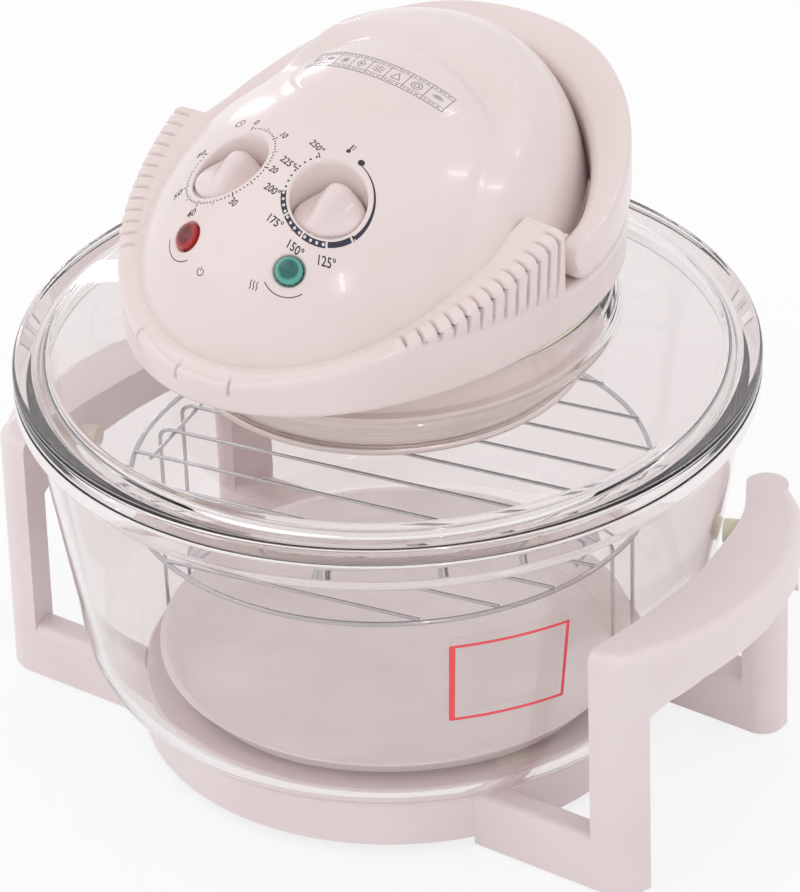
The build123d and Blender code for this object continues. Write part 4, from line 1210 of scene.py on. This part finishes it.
def print_thermostat():
    marks = Drawing()
    pips = Drawing()
    gap = 1.3
    for number in range(3):
        start = HEAT_FIRST + HEAT_STEP * number
        marks.band(HEAT_RING, HEAT_BAND, start + HEAT_STEP + gap, start - gap)
        for pip in range(4):
            pips.dot(*polar(HEAT_RING, start + HEAT_STEP * (pip + 0.5) / 4), 0.62)
    solid_end = HEAT_FIRST - HEAT_STEP
    marks.band(HEAT_RING - 0.1, 2.0, HEAT_FIRST + gap, solid_end - gap)
    marks.band(HEAT_RING + 0.2, 1.6, solid_end + gap, 80, end_width=0.35)
    marks.dot(*polar(HEAT_RING + 1.2, 82), 1.55)
    for number in range(8):
        marks.dot(*polar(HEAT_RING - 0.4, HEAT_FIRST + HEAT_STEP * (3 + (number + 0.55) / 4)), 0.5)
    for number in (4, 5):
        marks.spoke(HEAT_FIRST + HEAT_STEP * number, HEAT_RING - 1.2, HEAT_RING + 1.8, 0.5)
    for number in range(6):
        angle = HEAT_FIRST + HEAT_STEP * number
        marks.text(f"{125 + 25 * number}\u00b0", *polar(HEAT_NUMBERS, angle), 4.5, HEAT_TURNS[number])
    bulb = (-5.0, 24.0)
    marks.dot(bulb[0], bulb[1] - 1.8, 1.0)
    marks.stroke((bulb[0], bulb[1] - 1.6), (bulb[0], bulb[1] + 2.4), 0.6)
    for rung in range(3):
        marks.stroke((bulb[0] + 0.8, bulb[1] + rung), (bulb[0] + 1.8, bulb[1] + rung), 0.35)
    marks.lay("thermostat_marks", INK, place_on(DIALS[1], INK_LIFT))
    pips.lay("thermostat_pips", PLASTIC, place_on(DIALS[1], INK_LIFT + 0.05))


def print_lamp_marks():
    power = Drawing()
    power.band(11.4, 0.4, 196, 300)
    sign = (15.0, -13.0)
    power.band(1.7, 0.38, 125, 415, centre=sign)
    power.stroke((sign[0], sign[1] + 0.3), (sign[0], sign[1] + 2.2), 0.38)
    power.lay("power_marks", INK, place_on(LENSES[-1], INK_LIFT))
    heat = Drawing()
    heat.band(11.4, 0.4, 225, 322)
    for number in range(3):
        x = -13.6 + 1.5 * number
        wave = [(x + 0.35 * math.sin(TAU * step / 8), -13.0 + 0.5 * step) for step in range(9)]
        heat.path(wave, 0.34)
    heat.lay("heat_marks", INK, place_on(LENSES[1], INK_LIFT))


# the strip on the pad: a row of boxes with a simple figure in each
STRIP_PLACE = (0.0, -5.5, 342.0)
STRIP_NORMAL = (0.0, 0.0, 1.0)
STRIP_LENGTH = 73.0
STRIP_DEPTH = 11.4
STRIP_BOXES = 8
STRIP_BOW = -0.0052      # the strip curves with the pad
STRIP_EDGE = 0.32        # widths of its lines
STRIP_RULE = 0.18
STRIP_BAR = 0.26
STRIP_DASH = 0.42


def strip_figure(draw, kind, x, y):
    """One of a few plain figures, about 5 mm across."""
    if kind == 0:
        draw.band(2.2, 0.3, 0, 359.9, centre=(x, y))
        draw.band(1.1, 0.3, 0, 359.9, centre=(x, y))
    elif kind == 1:
        draw.path([(x - 2, y - 2), (x, y + 2.2), (x + 2, y - 2), (x - 2, y - 2)], 0.3)
    elif kind == 2:
        for row in (-1.5, 0, 1.5):
            points = [(x - 2.4 + 0.6 * k, y + row + 0.45 * math.sin(TAU * k / 4)) for k in range(9)]
            draw.path(points, 0.28)
    elif kind == 3:
        draw.path([(x - 2, y), (x, y + 2.3), (x + 2, y), (x, y - 2.3), (x - 2, y)], 0.3)
        draw.dot(x, y, 0.6)
    elif kind == 4:
        for angle in range(0, 180, 45):
            reach = polar(2.4, angle)
            draw.stroke((x - reach[0], y - reach[1]), (x + reach[0], y + reach[1]), 0.28)
    else:
        for radius in (0.9, 1.6, 2.3):
            draw.band(radius, 0.28, 20, 160, centre=(x, y - 1.2))


def print_strip():
    spot = Spot(STRIP_PLACE, STRIP_NORMAL)
    draw = Drawing()
    half, depth = STRIP_LENGTH / 2, STRIP_DEPTH / 2
    for y in (-depth, depth):
        draw.stroke((-half, y), (half, y), STRIP_EDGE)
    for y in (-0.62 * depth, 0.62 * depth):
        draw.stroke((-half, y), (half, y), STRIP_RULE)
    cell = STRIP_LENGTH / STRIP_BOXES
    for number in range(STRIP_BOXES + 1):
        x = -half + cell * number
        draw.stroke((x, -depth), (x, depth), STRIP_BAR)
        if number == STRIP_BOXES:
            break
        strip_figure(draw, number * 5 % 6, x + cell / 2, 0)
        for y in (-0.81 * depth, 0.81 * depth):
            for dash in range(4):
                start = x + 1.0 + dash * (cell - 2) / 4
                draw.stroke((start, y), (start + 0.8 + 0.5 * (dash % 2), y), STRIP_DASH)

    def bowed(x, y):
        return spot.on(x, y - STRIP_BOW * x * x, INK_LIFT)

    draw.lay("pad_strip", STRIP_INK, bowed)


LABEL_ANGLES = (-45.3, -25.1)   # round the bowl, from the right-hand side
LABEL_HEIGHTS = (92.5, 135.0)
LABEL_BORDER = 1.6


def bowl_wall(height):
    """Outer radius of the bowl's sloping side."""
    (foot, low), (shoulder, high) = BOWL_FOOT, BOWL_SHOULDER
    return foot + (shoulder - foot) * (height - low) / (high - low)


def print_bowl_label():
    """A blank sticker with a coloured border."""
    low, high = LABEL_HEIGHTS
    start, end = (math.radians(angle) for angle in LABEL_ANGLES)
    middle = (low + high) / 2
    length = (end - start) * bowl_wall(middle)
    width = high - low

    def on_bowl(x, y):
        height = middle + y
        radius = bowl_wall(height) + 0.12
        angle = (start + end) / 2 + x / bowl_wall(middle)
        return Vector((radius * math.cos(angle), radius * math.sin(angle), height))

    border = Drawing()
    half_x, half_y = length / 2, width / 2
    corners = [(-half_x, -half_y), (half_x, -half_y), (half_x, half_y), (-half_x, half_y)]
    for first, second in zip(corners, corners[1:] + corners[:1]):
        border.stroke(first, second, LABEL_BORDER)
    border.stroke((-half_x + 0.6, -half_y), (-half_x + 0.6, half_y), LABEL_BORDER + 1.1)
    for corner in corners:
        border.dot(*corner, LABEL_BORDER / 2)
    border.lay("bowl_label_border", LABEL_RED, on_bowl, "bowl", "red_lens")


# ---------------------------------------------------------------- build

bpy.context.scene.view_settings.view_transform = "Standard"
add_camera()
finish_frame()
add_stage()
add_lights()
make_bowl_glass()
make_lid_glass()
make_cover()
make_housing()
make_handle()
make_pin_seats()
for side in (-1, 1):
    make_knob(side)
make_lens(-1, "power_cap", RED, "red_lens", "power_lens")
make_lens(1, "heat_cap", GREEN, "green_lens", "heat_lens")
print_timer()
print_thermostat()
print_lamp_marks()
print_strip()
print_bowl_label()
